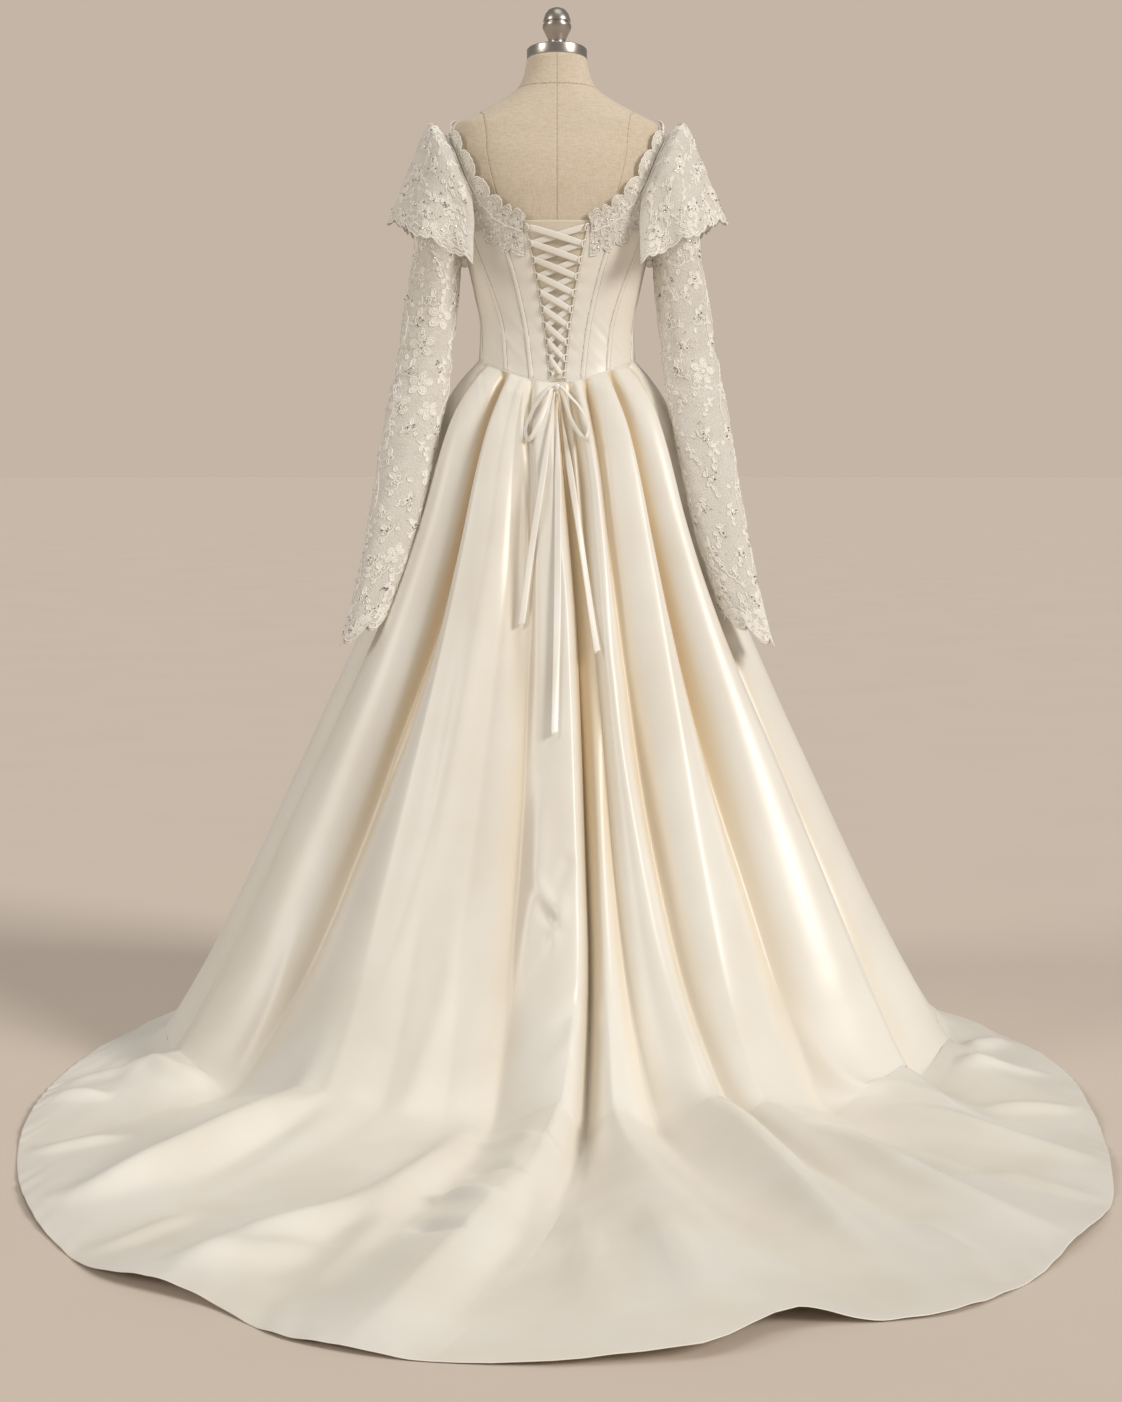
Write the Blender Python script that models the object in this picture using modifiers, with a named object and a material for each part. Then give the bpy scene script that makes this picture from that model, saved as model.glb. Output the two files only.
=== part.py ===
"""Wedding dress on a dress form: a laced satin bodice, lace sleeves and a long trained skirt.

The frame is in metres with +Z up. The origin is the middle of the stand's flat underside.
The gown's back and its train face -Y, so a viewer who looks along +Y sees the lacing.
Azimuths are degrees round the vertical axis from the centre back, positive towards +X.
Left is the wearer's left, on the -X side.
"""

import math

import bmesh
import bpy
import numpy as np

MM = 0.001
COLLECTION = "wedding_dress"

# Cloth walls and the layers that lie over the form, outwards from its surface
SKIRT_WALL = 2.0 * MM
LACE_WALL = 1.5 * MM
RIBBON_WALL = 0.8 * MM
SEAM_GAP = 0.3 * MM
MODESTY_LAYER = (0.6 * MM, 1.8 * MM)
BODICE_LAYER = (2.2 * MM, 4.2 * MM)
BONING_LAYER = (4.8 * MM, 5.8 * MM)
NECK_LACE_LAYER = (5.2 * MM, 6.7 * MM)

# The form: each row is one level ring, with how far it leans forward at the neck
FORM_COLUMNS = ("height", "half_width", "front", "back", "centre", "lean")
FORM_RINGS = (
    (0.760, 0.140, 0.100, 0.105, 0.000, 0.00),
    (0.775, 0.152, 0.108, 0.114, 0.000, 0.00),
    (0.840, 0.160, 0.114, 0.122, 0.000, 0.00),
    (0.930, 0.160, 0.116, 0.126, 0.000, 0.00),
    (1.020, 0.140, 0.108, 0.110, 0.000, 0.00),
    (1.090, 0.121, 0.099, 0.096, 0.000, 0.00),
    (1.147, 0.118, 0.096, 0.091, 0.000, 0.00),
    (1.200, 0.126, 0.101, 0.093, 0.000, 0.00),
    (1.262, 0.139, 0.112, 0.097, 0.000, 0.00),
    (1.310, 0.146, 0.116, 0.100, 0.000, 0.00),
    (1.360, 0.150, 0.108, 0.101, 0.000, 0.00),
    (1.410, 0.158, 0.092, 0.093, 0.000, 0.00),
    (1.445, 0.163, 0.076, 0.079, 0.000, 0.00),
    (1.463, 0.160, 0.068, 0.072, 0.000, 0.00),
    (1.476, 0.138, 0.063, 0.067, 0.001, 0.01),
    (1.490, 0.110, 0.058, 0.062, 0.002, 0.03),
    (1.505, 0.084, 0.053, 0.057, 0.005, 0.06),
    (1.522, 0.062, 0.050, 0.053, 0.008, 0.09),
    (1.542, 0.053, 0.048, 0.050, 0.012, 0.12),
    (1.566, 0.048, 0.047, 0.048, 0.016, 0.14),
)
FORM_SQUARENESS = 2.25
FORM_SIDES = 32
FORM_EASE = 0.5 * MM
FORM_FINE_FROM_TO = (1.05, 1.33)
BUST_HEIGHT = 1.268
BUST_AZIMUTH = 31.0
BUST_SPREAD = (19.0, 0.050)
BUST_RISE = 17 * MM

# The metal cap, the turned finial (its heights and radii, from the top) and the stand
CAP_RADIUS = 0.0475
CAP_THICKNESS = 0.018
CAP_BEVEL = 1.5 * MM
FINIAL_PROFILE = (
    (0.0665, 0.0000),
    (0.0660, 0.0060),
    (0.0625, 0.0130),
    (0.0560, 0.0185),
    (0.0470, 0.0215),
    (0.0425, 0.0212),
    (0.0415, 0.0190),
    (0.0400, 0.0190),
    (0.0390, 0.0225),
    (0.0340, 0.0226),
    (0.0260, 0.0190),
    (0.0170, 0.0145),
    (0.0100, 0.0130),
    (0.0070, 0.0150),
    (0.0000, 0.0150),
    (0.0000, 0.0000),
)
POLE_RADIUS = 0.0125
POLE_SIDES = 16
CAP_SIDES = 28
FINIAL_SIDES = 20
BASE_SIDES = 36
BASE_PROFILE = (
    (0.045, 0.000),
    (0.045, 0.018),
    (0.041, 0.024),
    (0.014, 0.030),
    (0.010, 0.178),
    (0.007, 0.188),
    (0.000, 0.190),
    (0.000, 0.000),
)

# Where the bodice ends below and above, by azimuth
WAIST_SIDE = 1.096
WAIST_BACK = 1.058
WAIST_FRONT = 1.078
WAIST_GAP = 0.5 * MM
BODICE_TOP_COLUMNS = ("azimuth", "height")
BODICE_TOP = (
    (0.0, 1.303),
    (30.0, 1.303),
    (60.0, 1.318),
    (90.0, 1.335),
    (120.0, 1.325),
    (150.0, 1.322),
    (168.0, 1.300),
    (180.0, 1.285),
)
BODICE_ROWS = 9
BODICE_FACES_ACROSS = 4
CENTRE_FACES_ACROSS = 6

# The bodice's seams: name, and azimuth at the top edge, at the waist and at the lower edge
BODICE_SEAMS = (
    ("opening", 26.5, 12.5, 7.0),
    ("back", 46.0, 29.0, 22.0),
    ("side_back", 72.0, 50.0, 43.0),
    ("side", 97.0, 79.0, 69.0),
    ("side_front", 126.0, 116.0, 112.0),
    ("centre_front", 158.0, 160.0, 162.0),
)
SEAM_HEIGHTS = (1.303, 1.147, 1.070)
BONING_WIDTH = 6.5 * MM
BONING_FIRST_ROW = 2
BONED_SEAMS = ("back", "side_back", "side", "side_front")

# The modesty panel behind the lacing
MODESTY_TOP = 1.308
MODESTY_BOTTOM = 1.064
MODESTY_OVERLAP = 15.6
MODESTY_NARROW_AT = 1.03
MODESTY_FACES_ACROSS = 8

# The lacing: nine crossings between two rows of loops, and the bow's ribbons
LACING_LOOPS = 10
LACING_TOP = 1.297
LACING_BOTTOM = 1.071
LOOP_REACH = 5 * MM
LOOP_HEIGHT = 8 * MM
LOOP_CORD_RADIUS = 0.9 * MM
LOOP_LAYER = 3.7 * MM
LOOP_CLEARANCE = 1.8 * MM
LOOP_POINTS = 4
RIBBON_WIDTH = 9 * MM
RIBBON_BEHIND = 5.6 * MM
RIBBON_FRONT = 7.6 * MM
RIBBON_TURN = 1.5 * MM
BOW_RIBBON_WIDTH = 7 * MM
KNOT_SIZE = (0.011, 0.008, 0.013)
KNOT_FACES = (12, 6)
KNOT_DOWN = 0.006

# One loop of the bow, and the three tails, as azimuth and way down the skirt
BOW_COLUMNS = ("azimuth", "down", "lift")
BOW_LOOP = (
    (3.15, 0.0050, 0.0062),
    (8.0, 0.0150, 0.0100),
    (14.5, 0.0330, 0.0100),
    (17.5, 0.0500, 0.0090),
    (14.5, 0.0600, 0.0100),
    (9.0, 0.0440, 0.0120),
    (4.9, 0.0200, 0.0130),
    (3.3, 0.0085, 0.0066),
)
BOW_LOOP_LEAN = 0.5
BOW_LOOP_PIECES = 14
BOW_TAIL_PIECES = 12
BOW_TAILS = (
    ("bow_tail_l", ((-1.55, 0.0092), (-5.2, 0.070), (-9.5, 0.150), (-11.0, 0.195)), 0.010),
    ("bow_tail_centre", ((0.0, 0.0095), (0.4, 0.080), (0.2, 0.170), (-0.5, 0.275)), 0.011),
    ("bow_tail_r", ((1.55, 0.0092), (6.0, 0.070), (10.0, 0.140), (12.0, 0.215)), 0.010),
)
TAUT_ROUNDS = 200
TAIL_FOLD_REACH = 2.0
BOW_TAIL_LIFT = 3 * MM
BOW_TAIL_GATHER = 0.18
KNOT_LIFT = 1.65 * MM

# The lace edge round the neckline: its middle line and how wide it is
NECK_LACE_COLUMNS = ("azimuth", "height", "half_width")
NECK_LACE = (
    (29.5, 1.287, 0.026),
    (44.0, 1.300, 0.027),
    (58.0, 1.330, 0.026),
    (69.0, 1.374, 0.022),
    (79.0, 1.421, 0.020),
    (90.0, 1.444, 0.018),
    (101.0, 1.421, 0.020),
    (112.0, 1.372, 0.022),
    (124.0, 1.334, 0.025),
    (146.0, 1.318, 0.026),
    (166.0, 1.300, 0.026),
    (179.6, 1.280, 0.026),
)
NECK_LACE_SCALLOPS = 17
NECK_LACE_SCALLOP_RISE = 5 * MM
NECK_LACE_COLUMNS_OF_FACES = 51

# The sleeves: each row is one ring, from the sleeve head to the scalloped hem
SLEEVE_COLUMNS = ("x", "y", "z", "half_width", "half_depth", "tilt")
SLEEVE_RINGS = (
    (0.1680, 0.000, 1.3700, 0.0680, 0.0560, 87.0),
    (0.1860, -0.002, 1.3060, 0.0500, 0.0540, 52.0),
    (0.1905, -0.006, 1.2480, 0.0385, 0.0480, 16.0),
    (0.1985, -0.014, 1.1860, 0.0415, 0.0440, 4.0),
    (0.2080, -0.030, 1.1000, 0.0430, 0.0420, 0.0),
    (0.2190, -0.052, 1.0300, 0.0460, 0.0400, -3.0),
    (0.2340, -0.080, 0.9470, 0.0450, 0.0380, -8.0),
    (0.2500, -0.108, 0.8560, 0.0450, 0.0360, -12.0),
    (0.2680, -0.132, 0.7780, 0.0440, 0.0340, -18.0),
    (0.2860, -0.148, 0.7150, 0.0430, 0.0330, -24.0),
    (0.2985, -0.156, 0.6760, 0.0430, 0.0330, -28.0),
)
SLEEVE_SIDES = 18
SLEEVE_SCALLOPS = 6
SLEEVE_SCALLOP = (4 * MM, 8 * MM)

# The flounces over the sleeve heads: half rings that open out from the neckline to the hem
FLOUNCE_COLUMNS = ("share", "centre_x", "reach_x", "reach_y", "centre_z", "rise_z")
FLOUNCE_RINGS = (
    (0.00, 0.137, 0.0400, 0.077, 1.350, 0.112),
    (0.20, 0.135, 0.0670, 0.094, 1.325, 0.139),
    (0.50, 0.138, 0.0870, 0.104, 1.295, 0.114),
    (0.78, 0.140, 0.1060, 0.118, 1.268, 0.086),
    (1.00, 0.142, 0.1200, 0.126, 1.250, 0.065),
)
FLOUNCE_REACH = 96.0
FLOUNCE_SEAT_SPAN = 26.0
FLOUNCE_SEAT_SHARE = 0.2
FLOUNCE_SEAT_LAYER = NECK_LACE_LAYER[1] + 0.9 * MM
FLOUNCE_WAVES = 7
FLOUNCE_WAVE = 7 * MM
FLOUNCE_POINT_DROP = 11 * MM
FLOUNCE_FACES = (28, 5)

# The skirt's rings above the floor: the share of the way down, then the radius and height
# at the back, at the side and at the front
SKIRT_RINGS = (
    (0.06, 0.163, 0.960, 0.172, 1.020, 0.128, 1.010),
    (0.15, 0.233, 0.775, 0.218, 0.865, 0.158, 0.910),
    (0.27, 0.323, 0.535, 0.325, 0.600, 0.203, 0.770),
    (0.39, 0.420, 0.300, 0.436, 0.345, 0.250, 0.630),
    (0.49, 0.525, 0.118, 0.545, 0.130, 0.292, 0.500),
    (0.57, 0.655, 0.010, 0.625, 0.008, 0.325, 0.380),
)
# The rings that lie on the floor: the way down, the share of the way out, and the height
# in front
FLOOR_RINGS = (
    (0.70, 0.30, 0.240),
    (0.85, 0.65, 0.105),
    (1.00, 1.00, 0.005),
)

# The hem's outline on the floor, with how far each half reaches from the axis
HEM_COLUMNS = ("azimuth", "left", "right")
HEM_OUTLINE = (
    (0.0, 1.484, 1.484),
    (6.0, 1.474, 1.470),
    (11.0, 1.440, 1.392),
    (17.0, 1.352, 1.398),
    (23.0, 1.315, 1.348),
    (30.0, 1.225, 1.250),
    (37.0, 1.128, 1.165),
    (44.0, 1.038, 1.062),
    (52.0, 0.950, 0.968),
    (60.0, 0.876, 0.893),
    (70.0, 0.806, 0.834),
    (80.0, 0.746, 0.778),
    (90.0, 0.704, 0.716),
    (100.0, 0.682, 0.686),
    (112.0, 0.642, 0.642),
    (135.0, 0.545, 0.545),
    (160.0, 0.450, 0.450),
    (180.0, 0.420, 0.420),
)

# The skirt's folds: every ridge and trough is a line down the cloth, with its azimuth and
# its rise from the plain skirt in millimetres at six places on the way to the hem
FOLD_PLACES = (0.0, 0.20, 0.40, 0.59, 0.80, 1.0)
FOLDS = (
    ("front_trough_l", (-164, -164, -164, -164, -164, -164), (0, 0, 0, 0, 0, 0)),
    ("front_fold_l", (-150, -149, -148, -147, -146, -146), (3, 12, 18, 22, 24, 24)),
    ("side_front_trough_l", (-134, -133, -132, -131, -130, -130), (0, 0, 0, 0, 0, 0)),
    ("side_front_fold_l", (-119, -117, -115, -114, -113, -113), (3, 12, 18, 15, 10, 8)),
    ("side_trough_l", (-103, -102, -101, -100, -99, -98), (0, -2, 0, 0, 0, 0)),
    ("side_fold_l", (-85, -87, -87, -85, -84, -82), (3, 8, 18, 16, 8, 3)),
    ("pleat_trough_l3", (-67, -74, -76, -75, -72, -69), (0, -8, -4, 0, 0, 0)),
    ("pleat_ridge_l3", (-60, -54, -63, -63, -61, -58), (5, 20, 28, 30, 12, 4)),
    ("pleat_trough_l2", (-44, -40, -47, -50, -48, -46), (0, -4, -7, -3, 0, 0)),
    ("pleat_ridge_l2", (-38, -33.5, -33, -30, -32, -34), (6, 19, 28, 33, 14, 5)),
    ("train_trough_l", (-30, -25, -25, -22, -25, -27), (4, 15, 21, 18, 0, 0)),
    ("train_fold_l", (-25, -17, -17, -14, -17, -20), (1, 9, 14, 10, 12, 16)),
    ("pleat_trough_l1", (-21.5, -8, -8, -8, -12, -14), (0, 3, 6, 5, 0, 0)),
    ("centre_ridge", (-7, 3.5, 4, 0, -5, -9), (5, 14, 25, 42, 34, 7)),
    ("centre_trough", (1, 7.2, 6.5, 3, -1, -5), (-1, -7, -9, -5, 0, 0)),
    ("train_roll_r", (6, 10, 9, 7, 9, 11), (1, -2, 11, 32, 30, 20)),
    ("train_trough_r", (10, 12.5, 12, 13, 14, 15), (2, -1, 0, 2, 0, 2)),
    ("pleat_ridge_r1", (17, 15.5, 17, 20.5, 19.5, 19), (5, 10, 21, 36, 20, 4)),
    ("pleat_trough_r1", (24, 20.5, 21.5, 23.5, 24, 24), (0, 0, 1, 7, 0, 0)),
    ("pleat_ridge_r2", (39, 32.5, 29, 27, 29, 30), (6, 20, 26, 25, 16, 8)),
    ("pleat_trough_r2", (46, 40, 41, 38, 36, 37), (0, -5, -7, -4, 0, 0)),
    ("pleat_ridge_r3", (61, 51, 56, 52, 43.5, 44), (5, 20, 29, 32, 15, 6)),
    ("pleat_trough_r3", (68, 61, 62, 58, 52, 50), (0, -5, -5, -2, 0, 0)),
    ("side_fold_r", (77, 79, 77, 73, 63, 58), (2, 6, 17, 22, 13, 6)),
    ("side_trough_r", (86, 90, 89, 85, 76, 72), (0, -2, 0, 0, 0, 0)),
    ("side_front_fold_r", (97, 103, 101, 99, 96, 94), (3, 10, 18, 14, 7, 4)),
    ("front_trough_r", (112, 115, 114, 113, 111, 110), (0, 0, 0, 0, 0, 0)),
    ("front_fold_r", (127, 129, 129, 129, 129, 129), (3, 12, 19, 23, 22, 18)),
    ("centre_front_trough_r", (147, 147, 146, 146, 146, 146), (0, 0, 0, 0, 0, 0)),
    ("centre_front_fold", (175, 173, 170, 168, 168, 168), (2, 9, 14, 17, 18, 18)),
)
PLEAT_START = 0.035
SKIRT_ROWS = (0, 0.02, 0.05, 0.10, 0.165, 0.235, 0.305, 0.375, 0.44, 0.50, 0.555, 0.615,
              0.70, 0.80, 0.91, 1.0)
FACES_PER_FOLD_SIDE = 3
NARROW_SIDE = 5.5
SKIRT_PANELS = (
    ("skirt_front", "front_trough_r", "side_front_trough_l"),
    ("skirt_side_l", "side_front_trough_l", "pleat_trough_l3"),
    ("skirt_back_l", "pleat_trough_l3", "centre_trough"),
    ("skirt_back_r", "centre_trough", "side_trough_r"),
    ("skirt_side_r", "side_trough_r", "front_trough_r"),
)

SATIN_COLOUR = (0.86, 0.80, 0.70)
LACE_COLOUR = (0.88, 0.84, 0.78)
LINEN_COLOUR = (0.72, 0.60, 0.45)
NICKEL_COLOUR = (0.42, 0.38, 0.33)


def column(rows, names, name):
    """One named column of a table as an array."""
    place = names.index(name)
    return np.array([row[place] for row in rows], float)


def through(position, knots, values):
    """A smooth curve through values at knots that never overshoots them.

    The values' last axis runs over the knots, and its other axes match the positions.
    """
    position = np.asarray(position, float)
    knots = np.asarray(knots, float)
    values = np.broadcast_to(values, position.shape + knots.shape)
    step = np.diff(knots)
    slope = np.diff(values, axis=-1) / step
    product = slope[..., 1:] * slope[..., :-1]
    total = slope[..., 1:] + slope[..., :-1]
    middle = np.where(product > 0, 2 * product / np.where(product > 0, total, 1.0), 0.0)
    rate = np.concatenate([slope[..., :1], middle, slope[..., -1:]], axis=-1)
    index = np.clip(np.searchsorted(knots, position, side="right") - 1, 0, len(knots) - 2)
    share = np.clip((position - knots[index]) / step[index], 0.0, 1.0)

    def pick(table, shift):
        return np.take_along_axis(table, (index + shift)[..., None], axis=-1)[..., 0]

    span = step[index]
    square = share * share
    cube = square * share
    return (
        pick(values, 0) * (2 * cube - 3 * square + 1)
        + pick(rate, 0) * span * (cube - 2 * square + share)
        + pick(values, 1) * (3 * square - 2 * cube)
        + pick(rate, 1) * span * (cube - square)
    )


def unit(vectors):
    """The vectors at length one."""
    return vectors / np.linalg.norm(vectors, axis=-1, keepdims=True)


def polar(azimuth, radius, height):
    """Points at a radius and height, at an azimuth from the centre back."""
    angle = np.radians(azimuth)
    return np.stack([radius * np.sin(angle), -radius * np.cos(angle), height + 0 * angle], -1)


def facing(surface, one, other, step_one, step_other):
    """The outward normals of a surface of two parameters."""
    along = surface(one + step_one, other) - surface(one - step_one, other)
    low = np.maximum(other - step_other, 0.0)
    high = np.minimum(other + step_other, 1.0)
    down = surface(one, high) - surface(one, low)
    return unit(np.cross(down, along))


def form_radius(azimuth, height):
    """How far the form's surface is from the axis: a squared-off ellipse at each height."""
    heights = column(FORM_RINGS, FORM_COLUMNS, "height")
    azimuth, height = np.broadcast_arrays(np.asarray(azimuth, float), height)
    wide, front, back = (
        through(height, heights, column(FORM_RINGS, FORM_COLUMNS, name))
        for name in ("half_width", "front", "back")
    )
    angle = np.radians(azimuth)
    across = np.abs(np.sin(angle)) / wide
    deep = np.abs(np.cos(angle)) / np.where(np.cos(angle) > 0, back, front)
    radius = (across**FORM_SQUARENESS + deep**FORM_SQUARENESS) ** (-1 / FORM_SQUARENESS)
    from_front = 180 - np.abs((azimuth + 180) % 360 - 180)
    beside = np.exp(-(((from_front - BUST_AZIMUTH) / BUST_SPREAD[0]) ** 2))
    level = np.exp(-(((height - BUST_HEIGHT) / BUST_SPREAD[1]) ** 2))
    return radius + BUST_RISE * beside * level


def waist_height(azimuth):
    """The waist seam, which dips to a point at the centre back and a little in front."""
    cosine = np.cos(np.radians(azimuth))
    dip = np.where(cosine > 0, WAIST_SIDE - WAIST_BACK, WAIST_SIDE - WAIST_FRONT)
    return WAIST_SIDE - dip * cosine**2


def bodice_top(azimuth):
    """The bodice's upper edge, the same on both sides."""
    from_back = np.abs((np.asarray(azimuth, float) + 180) % 360 - 180)
    return through(
        from_back,
        column(BODICE_TOP, BODICE_TOP_COLUMNS, "azimuth"),
        column(BODICE_TOP, BODICE_TOP_COLUMNS, "height"),
    )


def seam_azimuth(name, height):
    """The azimuth of a bodice seam at a height."""
    row = next(row for row in BODICE_SEAMS if row[0] == name)
    return through(height, SEAM_HEIGHTS[::-1], np.array(row[:0:-1], float))


def on_bodice(azimuth, height, layer):
    """A point over the form, at a layer's distance from it."""
    return polar(azimuth, form_radius(azimuth, height) + layer, height)


def hem_radius(azimuth):
    """The hem's distance from the axis."""
    signed = (np.asarray(azimuth, float) + 180) % 360 - 180
    azimuths = column(HEM_OUTLINE, HEM_COLUMNS, "azimuth")
    left = through(np.abs(signed), azimuths, column(HEM_OUTLINE, HEM_COLUMNS, "left"))
    right = through(np.abs(signed), azimuths, column(HEM_OUTLINE, HEM_COLUMNS, "right"))
    return np.where(signed < 0, left, right)


def plain_skirt(azimuth, down):
    """The skirt without its folds, from the waist seam at 0 to the hem at 1."""
    azimuth, down = np.broadcast_arrays(np.asarray(azimuth, float), down)
    cosine = np.cos(np.radians(azimuth))
    backward = cosine > 0
    share = cosine**2
    radii = [form_radius(azimuth, waist_height(azimuth)) + BODICE_LAYER[1]]
    heights = [waist_height(azimuth) - WAIST_GAP / 2]
    for _, back_r, back_z, side_r, side_z, front_r, front_z in SKIRT_RINGS:
        radii.append(np.where(backward, back_r, front_r) * share + side_r * (1 - share))
        heights.append(np.where(backward, back_z, front_z) * share + side_z * (1 - share))
    toe = radii[-1]
    for _, outward, front_z in FLOOR_RINGS:
        radii.append(toe + outward * (hem_radius(azimuth) - toe))
        flat = SKIRT_WALL * np.ones_like(share)
        heights.append(np.where(backward, flat, flat + (front_z - flat) * share))
    places = [0.0]
    places += [row[0] for row in SKIRT_RINGS]
    places += [row[0] for row in FLOOR_RINGS]
    radius = through(down, places, np.stack(radii, -1))
    height = through(down, places, np.stack(heights, -1))
    return polar(azimuth, radius, height)


def fold_lines(down):
    """The azimuth and the rise of every fold line, at a way down the skirt."""
    down = np.asarray(down, float)[..., None]
    azimuths = np.array([row[1] for row in FOLDS], float)
    rises = np.array([row[2] for row in FOLDS], float) * MM
    spread = np.broadcast_to(down, down.shape[:-1] + (len(FOLDS),))
    return through(spread, FOLD_PLACES, azimuths), through(spread, FOLD_PLACES, rises)


def fold_rise(azimuth, down):
    """How far the folds lift the cloth: half a cosine wave from each line to the next."""
    azimuth, down = np.broadcast_arrays(np.asarray(azimuth, float), down)
    lines, rises = fold_lines(down)
    lines = np.concatenate([lines, lines[..., :1] + 360], -1)
    rises = np.concatenate([rises, rises[..., :1]], -1)
    round_once = lines[..., 0] + (azimuth - lines[..., 0]) % 360
    index = np.clip((lines[..., :-1] <= round_once[..., None]).sum(-1) - 1, 0, len(FOLDS) - 1)

    def pick(table, shift):
        return np.take_along_axis(table, (index + shift)[..., None], axis=-1)[..., 0]

    before, after = pick(lines, 0), pick(lines, 1)
    share = (round_once - before) / (after - before)
    wave = (1 - np.cos(np.pi * share)) / 2
    rise = pick(rises, 0) + (pick(rises, 1) - pick(rises, 0)) * wave
    return rise * np.sqrt(np.clip(down / PLEAT_START, 0.0, 1.0))


def skirt_surface(azimuth, down, lift=0.0):
    """The skirt's outer face: the plain skirt, moved out along its normal by the folds."""
    azimuth, down = np.broadcast_arrays(np.asarray(azimuth, float), down)
    normal = facing(plain_skirt, azimuth, down, 0.4, 0.004)
    points = plain_skirt(azimuth, down) + normal * (fold_rise(azimuth, down) + lift)[..., None]
    points[..., 2] = np.maximum(points[..., 2], SKIRT_WALL)
    return points


def clear_scene():
    """Remove what a new Blender file holds."""
    for item in list(bpy.data.objects):
        bpy.data.objects.remove(item, do_unlink=True)


def material(name, colour, roughness, metallic=0.0):
    """A plain Principled material."""
    made = bpy.data.materials.new(name)
    made.use_nodes = True
    shader = made.node_tree.nodes["Principled BSDF"]
    shader.inputs["Base Color"].default_value = (*colour, 1.0)
    shader.inputs["Roughness"].default_value = roughness
    shader.inputs["Metallic"].default_value = metallic
    return made


def add_mesh(name, points, faces, made_of):
    """A smooth shaded mesh object with its faces turned outwards."""
    mesh = bpy.data.meshes.new(name)
    mesh.from_pydata([tuple(point) for point in points], [], faces)
    shape = bmesh.new()
    shape.from_mesh(mesh)
    bmesh.ops.recalc_face_normals(shape, faces=shape.faces)
    shape.to_mesh(mesh)
    shape.free()
    mesh.shade_smooth()
    mesh.set_sharp_from_angle(angle=math.radians(50))
    mesh.materials.append(made_of)
    made = bpy.data.objects.new(name, mesh)
    bpy.data.collections[COLLECTION].objects.link(made)
    return made


def wall(name, outer, inner, made_of, closed=False):
    """A cloth wall between two grids of points, rimmed at its edges.

    The grids' first axis runs down the cloth and the second one across it. A closed wall
    meets itself across, as a sleeve does.
    """
    rows, columns = outer.shape[:2]
    points = np.concatenate([outer.reshape(-1, 3), inner.reshape(-1, 3)])
    count = rows * columns
    across = columns if closed else columns - 1
    faces = []
    for row in range(rows - 1):
        for place in range(across):
            beside = (place + 1) % columns
            corners = (
                row * columns + place,
                row * columns + beside,
                (row + 1) * columns + beside,
                (row + 1) * columns + place,
            )
            faces.append(corners)
            faces.append(tuple(corner + count for corner in reversed(corners)))
    for place in range(across):
        beside = (place + 1) % columns
        last = (rows - 1) * columns
        faces.append((beside, place, place + count, beside + count))
        faces.append((last + place, last + beside, last + beside + count, last + place + count))
    if not closed:
        for row in range(rows - 1):
            left, below = row * columns, (row + 1) * columns
            right, below_right = left + columns - 1, below + columns - 1
            faces.append((left, below, below + count, left + count))
            faces.append((below_right, right, right + count, below_right + count))
    return add_mesh(name, points, faces, made_of)


def pull_in(points, distance):
    """Draw a panel's two side edges in, so that it stays clear of the panel beside it."""
    drawn = points.copy()
    drawn[:, 0] += unit(points[:, 1] - points[:, 0]) * distance
    drawn[:, -1] += unit(points[:, -2] - points[:, -1]) * distance
    return drawn


def strip(name, middle, side, normal, width, thickness, made_of):
    """A flat ribbon along a path, with the way across it and the way out of it given."""
    across = unit(side) * np.reshape(width, (-1, 1)) / 2
    out = unit(normal) * thickness / 2
    outer = np.stack([middle - across, middle + across], 1) + out[:, None]
    inner = np.stack([middle - across, middle + across], 1) - out[:, None]
    return wall(name, outer, inner, made_of)


def turned(name, profile, sides, made_of):
    """A turned solid: the profile runs from the top down its outer side."""
    mesh = bpy.data.meshes.new(name)
    points = [(radius, 0.0, height) for height, radius in profile]
    edges = [(place, place + 1) for place in range(len(points) - 1)]
    mesh.from_pydata(points, edges, [])
    mesh.materials.append(made_of)
    made = bpy.data.objects.new(name, mesh)
    bpy.data.collections[COLLECTION].objects.link(made)
    screw = made.modifiers.new("turn", "SCREW")
    screw.steps = sides
    screw.render_steps = sides
    screw.use_merge_vertices = True
    screw.merge_threshold = 0.00005
    screw.use_smooth_shade = True
    return made


def grid_normals(points):
    """The outward normals of a tube's rings, which run from its top down."""
    along = np.roll(points, -1, axis=1) - np.roll(points, 1, axis=1)
    down = np.gradient(points, axis=0)
    return unit(np.cross(down, along))


def form_points():
    """The form's rings, closer together under the bodice, which lean forward at the neck."""
    heights = column(FORM_RINGS, FORM_COLUMNS, "height")
    middles = (heights[1:] + heights[:-1]) / 2
    low, high = FORM_FINE_FROM_TO
    levels = np.sort(np.concatenate([heights, middles[(middles > low) & (middles < high)]]))
    azimuths = np.arange(FORM_SIDES) * 360 / FORM_SIDES
    rings = []
    for level in levels:
        lean = through(level, heights, column(FORM_RINGS, FORM_COLUMNS, "lean"))
        ring = polar(azimuths, form_radius(azimuths, level) - FORM_EASE, level)
        ring[:, 2] -= lean * ring[:, 1]
        ring[:, 1] += through(level, heights, column(FORM_RINGS, FORM_COLUMNS, "centre"))
        rings.append(ring)
    return np.stack(rings)


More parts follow.
